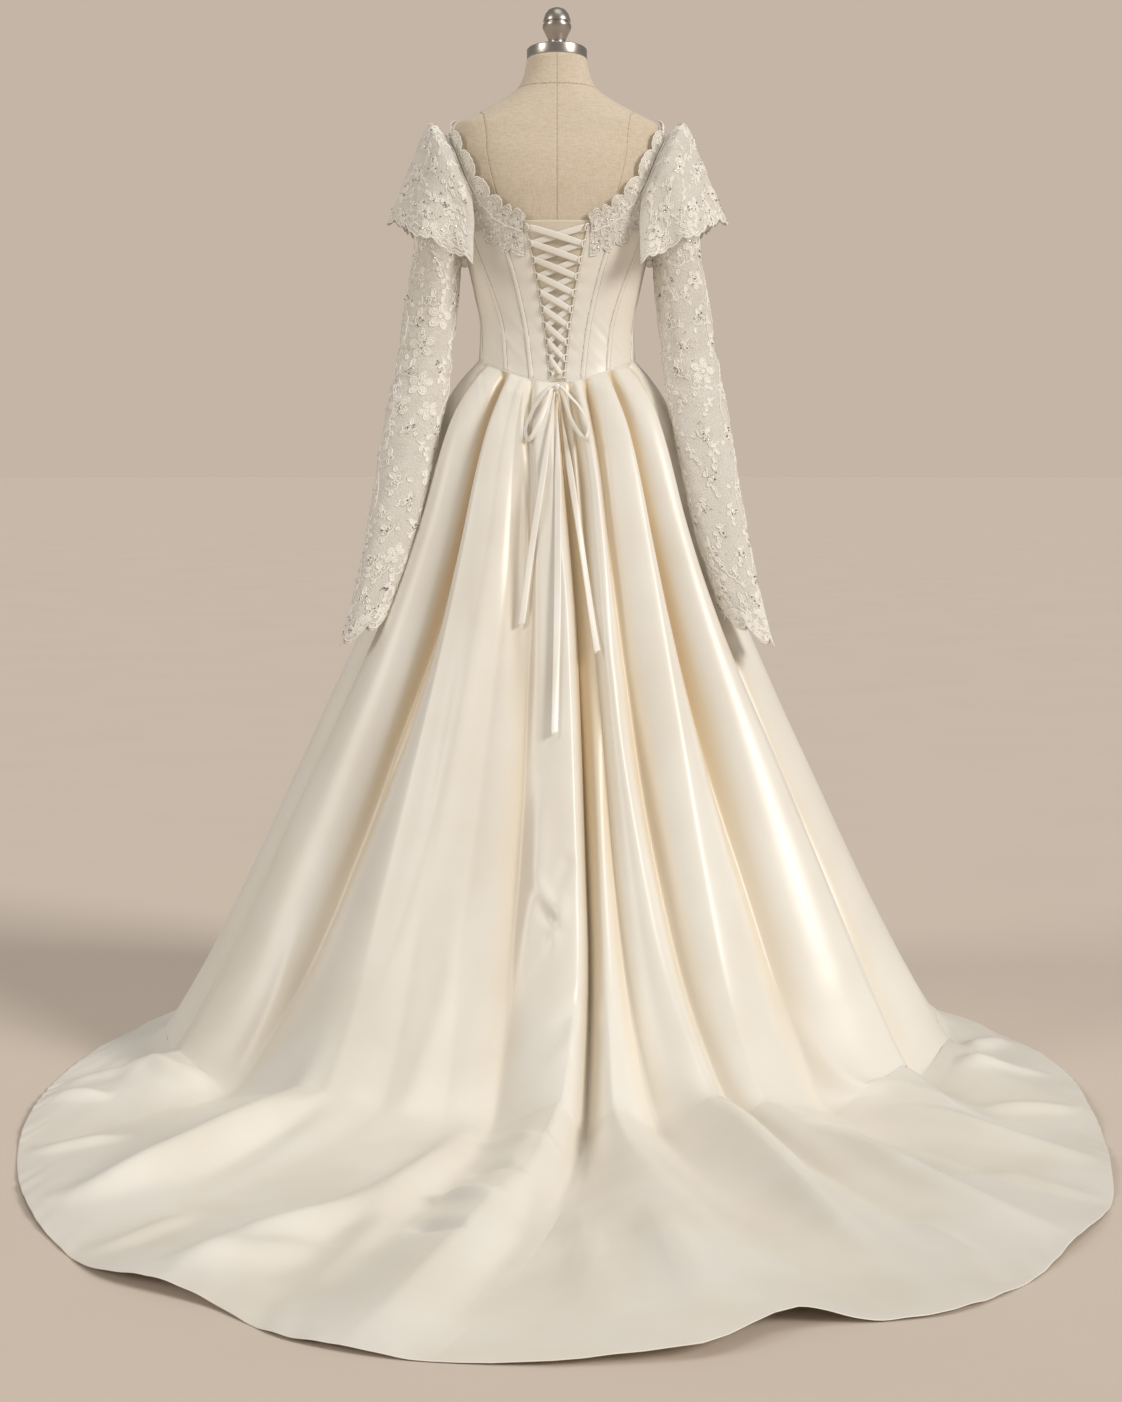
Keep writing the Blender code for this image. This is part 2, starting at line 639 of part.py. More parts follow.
def make_form(linen, nickel):
    """The padded form, its neck cap and finial, and the stand under it."""
    rings = form_points()
    rows, sides = rings.shape[:2]
    faces = []
    for row in range(rows - 1):
        for place in range(sides):
            beside = (place + 1) % sides
            low, high = row * sides, (row + 1) * sides
            faces.append((low + place, low + beside, high + beside, high + place))
    faces.append(tuple(range(sides)))
    faces.append(tuple(range((rows - 1) * sides, rows * sides)))
    add_mesh("form_torso", rings.reshape(-1, 3), faces, linen)

    top = dict(zip(FORM_COLUMNS, FORM_RINGS[-1]))
    lean = math.atan(top["lean"])
    up = np.array([0.0, math.sin(lean), math.cos(lean)])
    seat = np.array([0.0, top["centre"], top["height"]])
    bpy.ops.mesh.primitive_cylinder_add(vertices=CAP_SIDES, radius=CAP_RADIUS, depth=CAP_THICKNESS)
    cap = bpy.context.object
    cap.name = "neck_cap"
    cap.location = seat + up * (SEAM_GAP + CAP_THICKNESS / 2)
    cap.rotation_euler = (-lean, 0.0, 0.0)
    cap.data.materials.append(nickel)
    bevel = cap.modifiers.new("edge", "BEVEL")
    bevel.width = CAP_BEVEL
    bevel.segments = 1
    move_to_collection(cap)

    finial = turned("finial", FINIAL_PROFILE, FINIAL_SIDES, nickel)
    finial.location = seat + up * (2 * SEAM_GAP + CAP_THICKNESS)
    finial.rotation_euler = (-lean, 0.0, 0.0)

    form_bottom = FORM_RINGS[0][0]
    pole_top = form_bottom - SEAM_GAP
    pole_bottom = BASE_PROFILE[0][0] + SEAM_GAP
    bpy.ops.mesh.primitive_cylinder_add(
        vertices=POLE_SIDES, radius=POLE_RADIUS, depth=pole_top - pole_bottom
    )
    pole = bpy.context.object
    pole.name = "stand_pole"
    pole.location = (0.0, 0.0, (pole_top + pole_bottom) / 2)
    pole.data.materials.append(nickel)
    move_to_collection(pole)

    turned("stand_base", BASE_PROFILE, BASE_SIDES, nickel)


def move_to_collection(item):
    """Put a new primitive in the object's own collection."""
    for holder in list(item.users_collection):
        holder.objects.unlink(item)
    bpy.data.collections[COLLECTION].objects.link(item)


def panel_points(down, azimuth_at):
    """Azimuths and heights a share of the way down the bodice, on lines that slant."""
    azimuth = azimuth_at(np.full_like(down, SEAM_HEIGHTS[1]))
    for _ in range(6):
        top = bodice_top(azimuth)
        bottom = waist_height(azimuth) + WAIST_GAP / 2
        height = top + (bottom - top) * down
        azimuth = azimuth_at(height)
    return azimuth, height


def bodice_panel(name, left, right, columns, made_of):
    """One bodice panel between two edges, each given as a function of the height."""
    down = np.linspace(0, 1, BODICE_ROWS)[:, None]
    share = np.linspace(0, 1, columns + 1)[None, :]
    down, share = np.broadcast_arrays(down, share)
    azimuth, height = panel_points(
        down, lambda level: left(level) + (right(level) - left(level)) * share
    )
    inner_layer, outer_layer = BODICE_LAYER
    outer = pull_in(on_bodice(azimuth, height, outer_layer), SEAM_GAP / 2)
    inner = pull_in(on_bodice(azimuth, height, inner_layer), SEAM_GAP / 2)
    return wall(name, outer, inner, made_of)


def make_bodice(satin):
    """Nine boned panels, from the laced opening round to the centre front."""
    def edge(name, side):
        return lambda height: side * seam_azimuth(name, np.asarray(height, float))

    def front_edge(side):
        return lambda height: 180 + side * (180 - seam_azimuth("centre_front", height))

    names = [row[0] for row in BODICE_SEAMS]
    panels = ("back", "side_back", "side", "side_front", "front")
    for side, letter in ((-1, "l"), (1, "r")):
        for near, far, panel in zip(names, names[1:], panels):
            sides = edge(near, side), edge(far, side)
            bodice_panel(f"bodice_{panel}_{letter}", *sides, BODICE_FACES_ACROSS, satin)
    bodice_panel("bodice_centre_front", front_edge(-1), front_edge(1), CENTRE_FACES_ACROSS, satin)


def make_boning(satin):
    """A raised casing along each boned seam, between the lace edge and the waist."""
    for side, letter in ((-1, "l"), (1, "r")):
        for name in BONED_SEAMS:
            down = np.linspace(0, 1, BODICE_ROWS)[BONING_FIRST_ROW:, None]
            centre, height = panel_points(down, lambda level: side * seam_azimuth(name, level))
            across = np.linspace(-0.5, 0.5, 2)[None, :] * BONING_WIDTH
            turn = np.degrees(across / form_radius(centre, height))
            inner_layer, outer_layer = BONING_LAYER
            outer = on_bodice(centre + turn, height, outer_layer)
            inner = on_bodice(centre + turn, height, inner_layer)
            wall(f"boning_{name}_{letter}", outer, inner, satin)


def make_modesty_panel(satin):
    """The plain panel behind the lacing."""
    height = np.linspace(MODESTY_TOP, MODESTY_BOTTOM, BODICE_ROWS)[:, None]
    widening = (height - MODESTY_NARROW_AT) / (MODESTY_TOP - MODESTY_NARROW_AT)
    reach = seam_azimuth("opening", height) + MODESTY_OVERLAP * widening
    azimuth = reach * np.linspace(-1, 1, MODESTY_FACES_ACROSS + 1)[None, :]
    inner_layer, outer_layer = MODESTY_LAYER
    outer = on_bodice(azimuth, height, outer_layer)
    inner = on_bodice(azimuth, height, inner_layer)
    wall("modesty_panel", outer, inner, satin)


def loop_places():
    """The height of each lacing loop, from the top down."""
    return np.linspace(LACING_TOP, LACING_BOTTOM, LACING_LOOPS)


def loop_tip(height, side):
    """The azimuth of a loop's tip, inside the opening's edge."""
    edge = seam_azimuth("opening", height)
    return side * (edge - np.degrees(LOOP_REACH / form_radius(edge, height)))


def make_loops(satin):
    """A row of cord loops along each edge of the opening, made as one wavy cord."""
    turn = np.linspace(0, 1, LOOP_POINTS, endpoint=False)
    for side, letter in ((-1, "l"), (1, "r")):
        points = []
        for height in loop_places():
            heights = height + LOOP_HEIGHT * (0.5 - turn)
            tips = loop_tip(heights, side)
            edge = side * seam_azimuth("opening", heights)
            clear = side * np.degrees(LOOP_CLEARANCE / form_radius(edge, heights))
            share = np.sin(np.pi * turn) ** 0.7
            azimuths = (edge - clear) + (tips - edge + clear) * share
            points.extend(on_bodice(azimuths, heights, LOOP_LAYER))
        curve = bpy.data.curves.new(f"loops_{letter}", "CURVE")
        curve.dimensions = "3D"
        curve.bevel_depth = LOOP_CORD_RADIUS
        curve.bevel_resolution = 1
        curve.use_fill_caps = True
        spline = curve.splines.new("POLY")
        spline.points.add(len(points) - 1)
        for place, point in zip(spline.points, points):
            place.co = (*point, 1.0)
        curve.materials.append(satin)
        made = bpy.data.objects.new(f"loops_{letter}", curve)
        bpy.data.collections[COLLECTION].objects.link(made)


def lacing_path(first_side):
    """One half of the lacing ribbon: it crosses in front one way and behind the other."""
    places = loop_places()
    azimuths, heights, layers = [], [], []
    side = first_side
    middle_layer = (RIBBON_BEHIND + RIBBON_FRONT) / 2
    for upper, lower in zip(places[:-1], places[1:]):
        in_front = side < 0
        layer = RIBBON_FRONT if in_front else RIBBON_BEHIND
        start, end = loop_tip(upper, side), loop_tip(lower, -side)
        turn = RIBBON_TURN / np.linalg.norm(
            on_bodice(start, upper, layer) - on_bodice(end, lower, layer)
        )
        for share in (0.0, turn, 0.35, 0.65, 1.0 - turn):
            azimuths.append(start + (end - start) * share)
            heights.append(upper + (lower - upper) * share)
            layers.append(middle_layer if share == 0.0 else layer)
        side = -side
    azimuths.append(loop_tip(places[-1], side))
    heights.append(places[-1])
    layers.append(middle_layer)
    return np.array(azimuths), np.array(heights), np.array(layers)


def make_lacing(ribbon):
    """Two zigzag ribbons whose width runs up the form, turned round each loop's tip."""
    for first_side, name in ((-1, "lacing_from_left"), (1, "lacing_from_right")):
        azimuths, heights, layers = lacing_path(first_side)
        middle = on_bodice(azimuths, heights, layers)
        ahead = np.gradient(middle, axis=0)
        ahead[:, 2] = 0.0
        above = on_bodice(azimuths, heights + RIBBON_WIDTH / 2, layers)
        below = on_bodice(azimuths, heights - RIBBON_WIDTH / 2, layers)
        upright = unit(above - below)
        normal = np.cross(unit(ahead), upright)
        strip(name, middle, upright, normal, RIBBON_WIDTH, RIBBON_WALL, ribbon)


def taut(rises):
    """The rises of a ribbon that bridges the hollows under it."""
    pulled = rises.copy()
    for _ in range(TAUT_ROUNDS):
        between = (pulled[:-2] + pulled[2:]) / 2
        pulled[1:-1] = np.maximum(pulled[1:-1], between)
    return pulled


def skirt_ribbon(name, azimuths, downs, lift, width, made_of):
    """A ribbon that lies flat on the skirt along a path, stretched over the folds."""
    turns = (-TAIL_FOLD_REACH, 0.0, TAIL_FOLD_REACH)
    rises = np.max([fold_rise(azimuths + turn, downs) for turn in turns], axis=0)
    bridge = taut(rises) - fold_rise(azimuths, downs)
    middle = skirt_surface(azimuths, downs, bridge + lift)
    ahead = unit(np.gradient(middle, axis=0))
    outward = facing(plain_skirt, azimuths, downs, 0.4, 0.004)
    across = unit(np.cross(ahead, outward))
    strip(name, middle, across, np.cross(across, ahead), width, RIBBON_WALL, made_of)


def make_bow(ribbon):
    """The knot, two thin loops that hang open, and three tails of unequal length."""
    bpy.ops.mesh.primitive_uv_sphere_add(segments=KNOT_FACES[0], ring_count=KNOT_FACES[1], radius=0.5)
    knot = bpy.context.object
    knot.name = "bow_knot"
    knot.scale = KNOT_SIZE
    knot.location = skirt_surface(0.0, KNOT_DOWN, KNOT_SIZE[1] / 2 + KNOT_LIFT)
    knot.data.materials.append(ribbon)
    move_to_collection(knot)
    for side, letter in ((-1, "l"), (1, "r")):
        azimuths, downs, lifts = (column(BOW_LOOP, BOW_COLUMNS, name) for name in BOW_COLUMNS)
        smooth = np.linspace(0, 1, BOW_LOOP_PIECES + 1)
        places = np.linspace(0, 1, len(BOW_LOOP))
        azimuths, downs, lifts = (through(smooth, places, v) for v in (azimuths, downs, lifts))
        middle = skirt_surface(side * azimuths, downs, lifts)
        ahead = unit(np.gradient(middle, axis=0))
        outward = facing(plain_skirt, side * azimuths, downs, 0.4, 0.004)
        across = unit(outward + BOW_LOOP_LEAN * np.cross(ahead, outward) * side)
        normal = np.cross(across, ahead)
        strip(f"bow_loop_{letter}", middle, across, normal, BOW_RIBBON_WIDTH, RIBBON_WALL, ribbon)
    for name, path, width in BOW_TAILS:
        places = np.linspace(0, 1, len(path))
        smooth = np.linspace(0, 1, BOW_TAIL_PIECES + 1)
        azimuths = through(smooth, places, np.array([point[0] for point in path], float))
        downs = through(smooth, places, np.array([point[1] for point in path], float))
        open_out = np.clip(smooth * 4 - 0.5, 0, 1)
        spread = BOW_TAIL_GATHER + (1 - BOW_TAIL_GATHER) * open_out
        skirt_ribbon(name, azimuths, downs, BOW_TAIL_LIFT, width * spread, ribbon)


def make_skirt(satin):
    """Five panels whose edges run down the troughs between the folds."""
    names = [row[0] for row in FOLDS]
    count = len(FOLDS)
    rows = np.array(SKIRT_ROWS, float)
    lines, _ = fold_lines(rows)
    for name, first, last in SKIRT_PANELS:
        start, end = names.index(first), names.index(last)
        if end <= start:
            end += count
        azimuths = []
        for line in range(start, end):
            here = lines[:, line % count] + 360 * (line // count)
            after = lines[:, (line + 1) % count] + 360 * ((line + 1) // count)
            narrow = (after - here).mean() < NARROW_SIDE
            faces = FACES_PER_FOLD_SIDE - 1 if narrow else FACES_PER_FOLD_SIDE
            for step in range(faces):
                azimuths.append(here + (after - here) * step / faces)
        azimuths.append(lines[:, end % count] + 360 * (end // count))
        azimuth = np.stack(azimuths, 1)
        down = np.broadcast_to(rows[:, None], azimuth.shape)
        outer = skirt_surface(azimuth, down)
        normal = facing(skirt_surface, azimuth, down, 0.25, 0.004)
        inner = outer - normal * SKIRT_WALL
        inner[..., 2] = np.maximum(inner[..., 2], 0.0)
        wall(name, pull_in(outer, SEAM_GAP / 2), pull_in(inner, SEAM_GAP / 2), satin)


def sleeve_rings(side):
    """A sleeve's outer face: rings that are tilted ellipses, with scallops at the last."""
    turn = np.arange(SLEEVE_SIDES) * 2 * math.pi / SLEEVE_SIDES
    rings = []
    for place, row in enumerate(SLEEVE_RINGS):
        values = dict(zip(SLEEVE_COLUMNS, row))
        tilt = math.radians(values["tilt"])
        outward = values["half_width"] * np.cos(turn)
        ring = np.stack(
            [
                side * (values["x"] + outward * math.cos(tilt)),
                values["y"] + values["half_depth"] * np.sin(turn),
                values["z"] + outward * math.sin(tilt),
            ],
            -1,
        )
        if place == len(SLEEVE_RINGS) - 1:
            wave = np.cos(SLEEVE_SCALLOPS * turn)
            ring[:, 0] += side * wave * SLEEVE_SCALLOP[0]
            ring[:, 2] -= wave * SLEEVE_SCALLOP[1]
        rings.append(ring)
    return np.stack(rings)


def make_sleeves(lace):
    """Two long lace sleeves, open at the shoulder and at the hem."""
    for side, letter in ((-1, "l"), (1, "r")):
        outer = sleeve_rings(side)
        inner = outer - grid_normals(outer) * side * LACE_WALL
        wall(f"sleeve_{letter}", outer, inner, lace, closed=True)


def flounce_surface(side, around, share):
    """A flounce's inner face: half rings from the neckline lace, rippled at the hem."""
    shares = column(FLOUNCE_RINGS, FLOUNCE_COLUMNS, "share")
    centre_x, reach_x, reach_y, centre_z, rise_z = (
        through(share, shares, column(FLOUNCE_RINGS, FLOUNCE_COLUMNS, name))
        for name in FLOUNCE_COLUMNS[1:]
    )
    angle = np.radians(around)
    ripple = FLOUNCE_WAVE * share**1.3 * np.cos(FLOUNCE_WAVES * angle)
    wide = reach_x + ripple
    deep = reach_y + ripple
    drop = FLOUNCE_POINT_DROP * share**4 * np.cos(2 * FLOUNCE_WAVES * angle) / 2
    free = np.stack(
        [
            side * (centre_x + wide * np.cos(angle)),
            deep * np.sin(angle),
            centre_z + rise_z * np.cos(angle) - drop,
        ],
        -1,
    )
    first = dict(zip(FLOUNCE_COLUMNS, FLOUNCE_RINGS[0]))
    top = np.stack(
        [
            side * (first["centre_x"] + first["reach_x"] * np.cos(angle)),
            first["reach_y"] * np.sin(angle),
            first["centre_z"] + first["rise_z"] * np.cos(angle),
        ],
        -1,
    )
    azimuth = 90 + around * FLOUNCE_SEAT_SPAN / FLOUNCE_REACH
    height = through(
        azimuth,
        column(NECK_LACE, NECK_LACE_COLUMNS, "azimuth"),
        column(NECK_LACE, NECK_LACE_COLUMNS, "height"),
    )
    seat = on_bodice(side * azimuth, height, FLOUNCE_SEAT_LAYER)
    held = np.clip(1 - share / FLOUNCE_SEAT_SHARE, 0, 1)[..., None] ** 2
    return free + (seat - top) * held


def make_flounces(lace):
    """A pointed lace flounce over the head of each sleeve."""
    columns, rows = FLOUNCE_FACES
    around = np.linspace(-FLOUNCE_REACH, FLOUNCE_REACH, columns + 1)[None, :]
    share = np.linspace(0, 1, rows + 1)[:, None]
    around, share = np.broadcast_arrays(around, share)
    for side, letter in ((-1, "l"), (1, "r")):
        def surface(one, other):
            return flounce_surface(side, one, other)

        inner = surface(around, share)
        inward = facing(surface, around, share, 0.5, 0.01) * side
        wall(f"flounce_{letter}", inner - inward * LACE_WALL, inner, lace)


def make_neck_lace(lace):
    """The scalloped lace edge, from the opening over the shoulder to the centre front."""
    azimuths = column(NECK_LACE, NECK_LACE_COLUMNS, "azimuth")
    first, last = azimuths[0], azimuths[-1]
    azimuth = np.linspace(first, last, NECK_LACE_COLUMNS_OF_FACES + 1)[None, :]
    middle = through(azimuth, azimuths, column(NECK_LACE, NECK_LACE_COLUMNS, "height"))
    half = through(azimuth, azimuths, column(NECK_LACE, NECK_LACE_COLUMNS, "half_width"))
    across = np.linspace(1, -1, 3)[:, None]
    way = (azimuth - first) / (last - first)
    wave = np.cos(2 * math.pi * NECK_LACE_SCALLOPS * way)
    height = middle + half * across + NECK_LACE_SCALLOP_RISE * wave * across
    for side, letter in ((-1, "l"), (1, "r")):
        inner_layer, outer_layer = NECK_LACE_LAYER
        outer = on_bodice(side * azimuth, height, outer_layer)
        inner = on_bodice(side * azimuth, height, inner_layer)
        wall(f"neckline_lace_{letter}", outer, inner, lace)


def main():
    """Build every piece of the gown and its stand."""
    clear_scene()
    holder = bpy.data.collections.new(COLLECTION)
    bpy.context.scene.collection.children.link(holder)
    satin = material("ivory_satin", SATIN_COLOUR, 0.34)
    lace = material("corded_lace", LACE_COLOUR, 0.7)
    linen = material("linen_cover", LINEN_COLOUR, 0.85)
    nickel = material("brushed_nickel", NICKEL_COLOUR, 0.35, 1.0)
    make_form(linen, nickel)
    make_bodice(satin)
    make_boning(satin)
    make_modesty_panel(satin)
    make_loops(satin)
    make_lacing(satin)
    make_bow(satin)
    make_neck_lace(lace)
    make_sleeves(lace)
    make_flounces(lace)
    make_skirt(satin)


main()
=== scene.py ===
"""A trained wedding dress on a dress form: the looks of every piece, over its solids.

Metres, with +Z up. The laced back and the train face -Y. Azimuths are degrees round the
vertical axis from the centre back, positive towards +X. Left is the wearer's left, at -X.
"""

import math

import bpy
import mathutils
import numpy as np
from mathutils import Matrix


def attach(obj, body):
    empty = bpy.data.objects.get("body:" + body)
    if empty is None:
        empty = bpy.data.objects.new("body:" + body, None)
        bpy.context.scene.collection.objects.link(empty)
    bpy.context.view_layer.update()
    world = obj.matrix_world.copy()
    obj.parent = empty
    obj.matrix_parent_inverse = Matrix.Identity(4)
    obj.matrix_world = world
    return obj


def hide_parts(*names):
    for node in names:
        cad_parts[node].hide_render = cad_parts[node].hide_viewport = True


bl_info = {
    "name": "Wedding Dress on a Dress Form",
    "version": (1, 0, 0),
    "blender": (4, 5, 0),
    "location": "View3D > Sidebar > Wedding Dress",
    "description": "Builds the satin, lace, form and studio of a trained wedding dress",
    "category": "Add Mesh",
}

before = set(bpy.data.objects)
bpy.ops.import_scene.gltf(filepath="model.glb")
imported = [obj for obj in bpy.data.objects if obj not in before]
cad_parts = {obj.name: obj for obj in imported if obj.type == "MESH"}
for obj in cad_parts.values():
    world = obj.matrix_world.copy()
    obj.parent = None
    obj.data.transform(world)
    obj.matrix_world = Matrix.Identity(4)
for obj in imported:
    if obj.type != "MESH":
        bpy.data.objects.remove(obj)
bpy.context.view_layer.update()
MM = 0.001

# The width that a sheet narrower than 10 mm states
NARROWEST_SHEET = 10.1 * MM

# The layers over the form, outwards from its surface
BODICE_LAYER = (2.2 * MM, 4.2 * MM)
MODESTY_LAYER = 1.8 * MM
BONING_LAYER = 4.1 * MM
NECK_LACE_LAYER = 5.9 * MM
LOOP_LAYER = 3.7 * MM
RIBBON_BEHIND = 5.4 * MM
RIBBON_FRONT = 7.6 * MM
SKIRT_LIFT = 2.0 * MM

# The form's rings, as in the solids
FORM_COLUMNS = ("height", "half_width", "front", "back", "centre", "lean")
FORM_RINGS = (
    (0.760, 0.140, 0.100, 0.105, 0.000, 0.00),
    (0.775, 0.152, 0.108, 0.114, 0.000, 0.00),
    (0.840, 0.160, 0.114, 0.122, 0.000, 0.00),
    (0.930, 0.160, 0.116, 0.126, 0.000, 0.00),
    (1.020, 0.140, 0.108, 0.110, 0.000, 0.00),
    (1.090, 0.121, 0.099, 0.096, 0.000, 0.00),
    (1.147, 0.118, 0.096, 0.091, 0.000, 0.00),
    (1.200, 0.126, 0.101, 0.093, 0.000, 0.00),
    (1.262, 0.139, 0.112, 0.097, 0.000, 0.00),
    (1.310, 0.146, 0.116, 0.100, 0.000, 0.00),
    (1.360, 0.150, 0.108, 0.101, 0.000, 0.00),
    (1.410, 0.158, 0.092, 0.093, 0.000, 0.00),
    (1.445, 0.163, 0.076, 0.079, 0.000, 0.00),
    (1.463, 0.160, 0.068, 0.072, 0.000, 0.00),
    (1.476, 0.138, 0.063, 0.067, 0.001, 0.01),
    (1.490, 0.110, 0.058, 0.062, 0.002, 0.03),
    (1.505, 0.084, 0.053, 0.057, 0.005, 0.06),
    (1.522, 0.062, 0.050, 0.053, 0.008, 0.09),
    (1.542, 0.053, 0.048, 0.050, 0.012, 0.12),
    (1.566, 0.048, 0.047, 0.048, 0.016, 0.14),
)
FORM_SQUARENESS = 2.25
BUST_HEIGHT = 1.268
BUST_AZIMUTH = 31.0
BUST_SPREAD = (19.0, 0.050)
BUST_RISE = 17 * MM

# The form's sewn seams: name, heights from the top and the seam's azimuth at each
PRINCESS_HEIGHTS = (1.566, 1.486, 1.476, 1.463, 1.40, 1.333, 1.10, 0.76)
FORM_SEAMS = (
    ("centre_front", (1.566, 1.40, 0.76), (-180.0, -180.0, -180.0)),
    ("front_princess_l", (1.566, 1.486, 1.463, 1.35, 1.27, 0.76), (-94, -94, -112, -141, -149, -150)),
    ("side_l", (1.566, 1.463, 1.35, 0.76), (-90.0, -90.0, -92.0, -92.0)),
    ("back_princess_l", PRINCESS_HEIGHTS, (-86, -86, -71, -64.5, -55, -47, -34, -34)),
    ("centre_back", (1.566, 1.40, 0.76), (0.0, 0.0, 0.0)),
    ("back_princess_r", PRINCESS_HEIGHTS, (86, 86, 71, 64.5, 55, 47, 34, 34)),
    ("side_r", (1.566, 1.463, 1.35, 0.76), (90.0, 90.0, 92.0, 92.0)),
    ("front_princess_r", (1.566, 1.486, 1.463, 1.35, 1.27, 0.76), (94, 94, 112, 141, 149, 150)),
)
NECK_SEAM_HEIGHT = 1.519
SEAM_DEPTH = 0.9 * MM
SEAM_LINE = 1.3 * MM

# The metal cap and the turned finial: heights and radii from the top
CAP_PROFILE = (
    (0.0180, 0.0000),
    (0.0180, 0.0445),
    (0.0176, 0.0465),
    (0.0165, 0.0475),
    (0.0015, 0.0475),
    (0.0004, 0.0465),
    (0.0000, 0.0445),
    (0.0000, 0.0000),
)
FINIAL_PROFILE = (
    (0.0665, 0.0000),
    (0.0663, 0.0030),
    (0.0655, 0.0075),
    (0.0625, 0.0135),
    (0.0560, 0.0185),
    (0.0470, 0.0214),
    (0.0432, 0.0217),
    (0.0424, 0.0208),
    (0.0418, 0.0192),
    (0.0402, 0.0192),
    (0.0394, 0.0212),
    (0.0385, 0.0226),
    (0.0340, 0.0226),
    (0.0260, 0.0190),
    (0.0170, 0.0145),
    (0.0110, 0.0130),
    (0.0085, 0.0133),
    (0.0070, 0.0150),
    (0.0004, 0.0152),
    (0.0000, 0.0148),
    (0.0000, 0.0000),
)
CAP_SEAT_GAP = 0.3 * MM

# Where the bodice ends below and above
WAIST_SIDE = 1.096
WAIST_BACK = 1.058
WAIST_FRONT = 1.078
WAIST_GAP = 0.5 * MM
PIPING_RADIUS = 1.1 * MM
BODICE_TOP = (
    (0.0, 1.303),
    (30.0, 1.303),
    (60.0, 1.318),
    (90.0, 1.335),
    (120.0, 1.325),
    (150.0, 1.322),
    (168.0, 1.300),
    (180.0, 1.285),
)
BODICE_SEAMS = {
    "opening": (26.5, 12.5, 7.0),
    "back": (46.0, 29.0, 22.0),
    "side_back": (72.0, 50.0, 43.0),
    "side": (97.0, 79.0, 69.0),
    "side_front": (126.0, 116.0, 112.0),
    "centre_front": (158.0, 160.0, 162.0),
}
SEAM_HEIGHTS = (1.303, 1.147, 1.070)
BONED_SEAMS = ("back", "side_back", "side", "side_front")
MODESTY_TOP = 1.308
MODESTY_BOTTOM = 1.0585
MODESTY_NARROW_AT = 1.03
MODESTY_OVERLAP = 15.6

# The lacing and the bow
LACING_LOOPS = 10
LACING_TOP = 1.297
LACING_BOTTOM = 1.071
LOOP_REACH = 5 * MM
LOOP_HEIGHT = 11 * MM
LOOP_CORD_RADIUS = 1.25 * MM
RIBBON_TURN = 1.6 * MM
KNOT_SIZE = (0.011, 0.008, 0.013)
KNOT_DOWN = 0.006
KNOT_LIFT = 1.65 * MM
BOW_LOOP = (
    (3.15, 0.0050, 0.0062),
    (8.0, 0.0150, 0.0100),
    (14.5, 0.0330, 0.0100),
    (17.5, 0.0500, 0.0090),
    (14.5, 0.0600, 0.0100),
    (9.0, 0.0440, 0.0120),
    (4.9, 0.0200, 0.0130),
    (3.3, 0.0085, 0.0066),
)
BOW_TAILS = (
    ("bow_tail_l", ((-1.55, 0.0092), (-5.2, 0.070), (-9.5, 0.150), (-11.0, 0.195)), 0.010),
    ("bow_tail_centre", ((0.0, 0.0095), (0.4, 0.080), (0.2, 0.170), (-0.5, 0.275)), 0.011),
    ("bow_tail_r", ((1.55, 0.0092), (6.0, 0.070), (10.0, 0.140), (12.0, 0.215)), 0.010),
)
BOW_TAIL_LIFT = 3 * MM
BOW_TAIL_GATHER = 0.18

# The lace edge round the neckline
NECK_LACE_COLUMNS = ("azimuth", "height", "half_width")
NECK_LACE = (
    (29.5, 1.287, 0.026),
    (44.0, 1.300, 0.027),
    (58.0, 1.330, 0.026),
    (69.0, 1.374, 0.022),
    (79.0, 1.421, 0.020),
    (90.0, 1.444, 0.018),
    (101.0, 1.421, 0.020),
    (112.0, 1.372, 0.022),
    (124.0, 1.334, 0.025),
    (146.0, 1.318, 0.026),
    (166.0, 1.300, 0.026),
    (179.6, 1.280, 0.026),
)
NECK_LACE_CORDS = (
    (-0.98, 2.0), (-0.84, 1.3), (-0.70, 1.3), (-0.12, 2.6), (0.86, 1.3), (0.98, 2.0),
)
NECK_LACE_SCALLOPS = 17
NECK_LACE_STARTS = 27.5
NECK_LACE_SCALLOP_RISE = 8 * MM

# The sleeves' grid: columns round and rows down
SLEEVE_GRID = (90, 150)

# The sleeves: rings from the head to the hem
SLEEVE_COLUMNS = ("x", "y", "z", "half_width", "half_depth", "tilt")
SLEEVE_RINGS = (
    (0.1680, 0.000, 1.3700, 0.0680, 0.0560, 87.0),
    (0.1860, -0.002, 1.3060, 0.0500, 0.0540, 52.0),
    (0.1905, -0.006, 1.2480, 0.0385, 0.0480, 16.0),
    (0.1985, -0.014, 1.1860, 0.0415, 0.0440, 4.0),
    (0.2080, -0.030, 1.1000, 0.0430, 0.0420, 0.0),
    (0.2190, -0.052, 1.0300, 0.0460, 0.0400, -3.0),
    (0.2340, -0.080, 0.9470, 0.0450, 0.0380, -8.0),
    (0.2500, -0.108, 0.8560, 0.0450, 0.0360, -12.0),
    (0.2680, -0.132, 0.7780, 0.0440, 0.0340, -18.0),
    (0.2860, -0.148, 0.7150, 0.0430, 0.0330, -24.0),
    (0.2985, -0.156, 0.6760, 0.0430, 0.0330, -28.0),
)
SLEEVE_SCALLOPS = 6

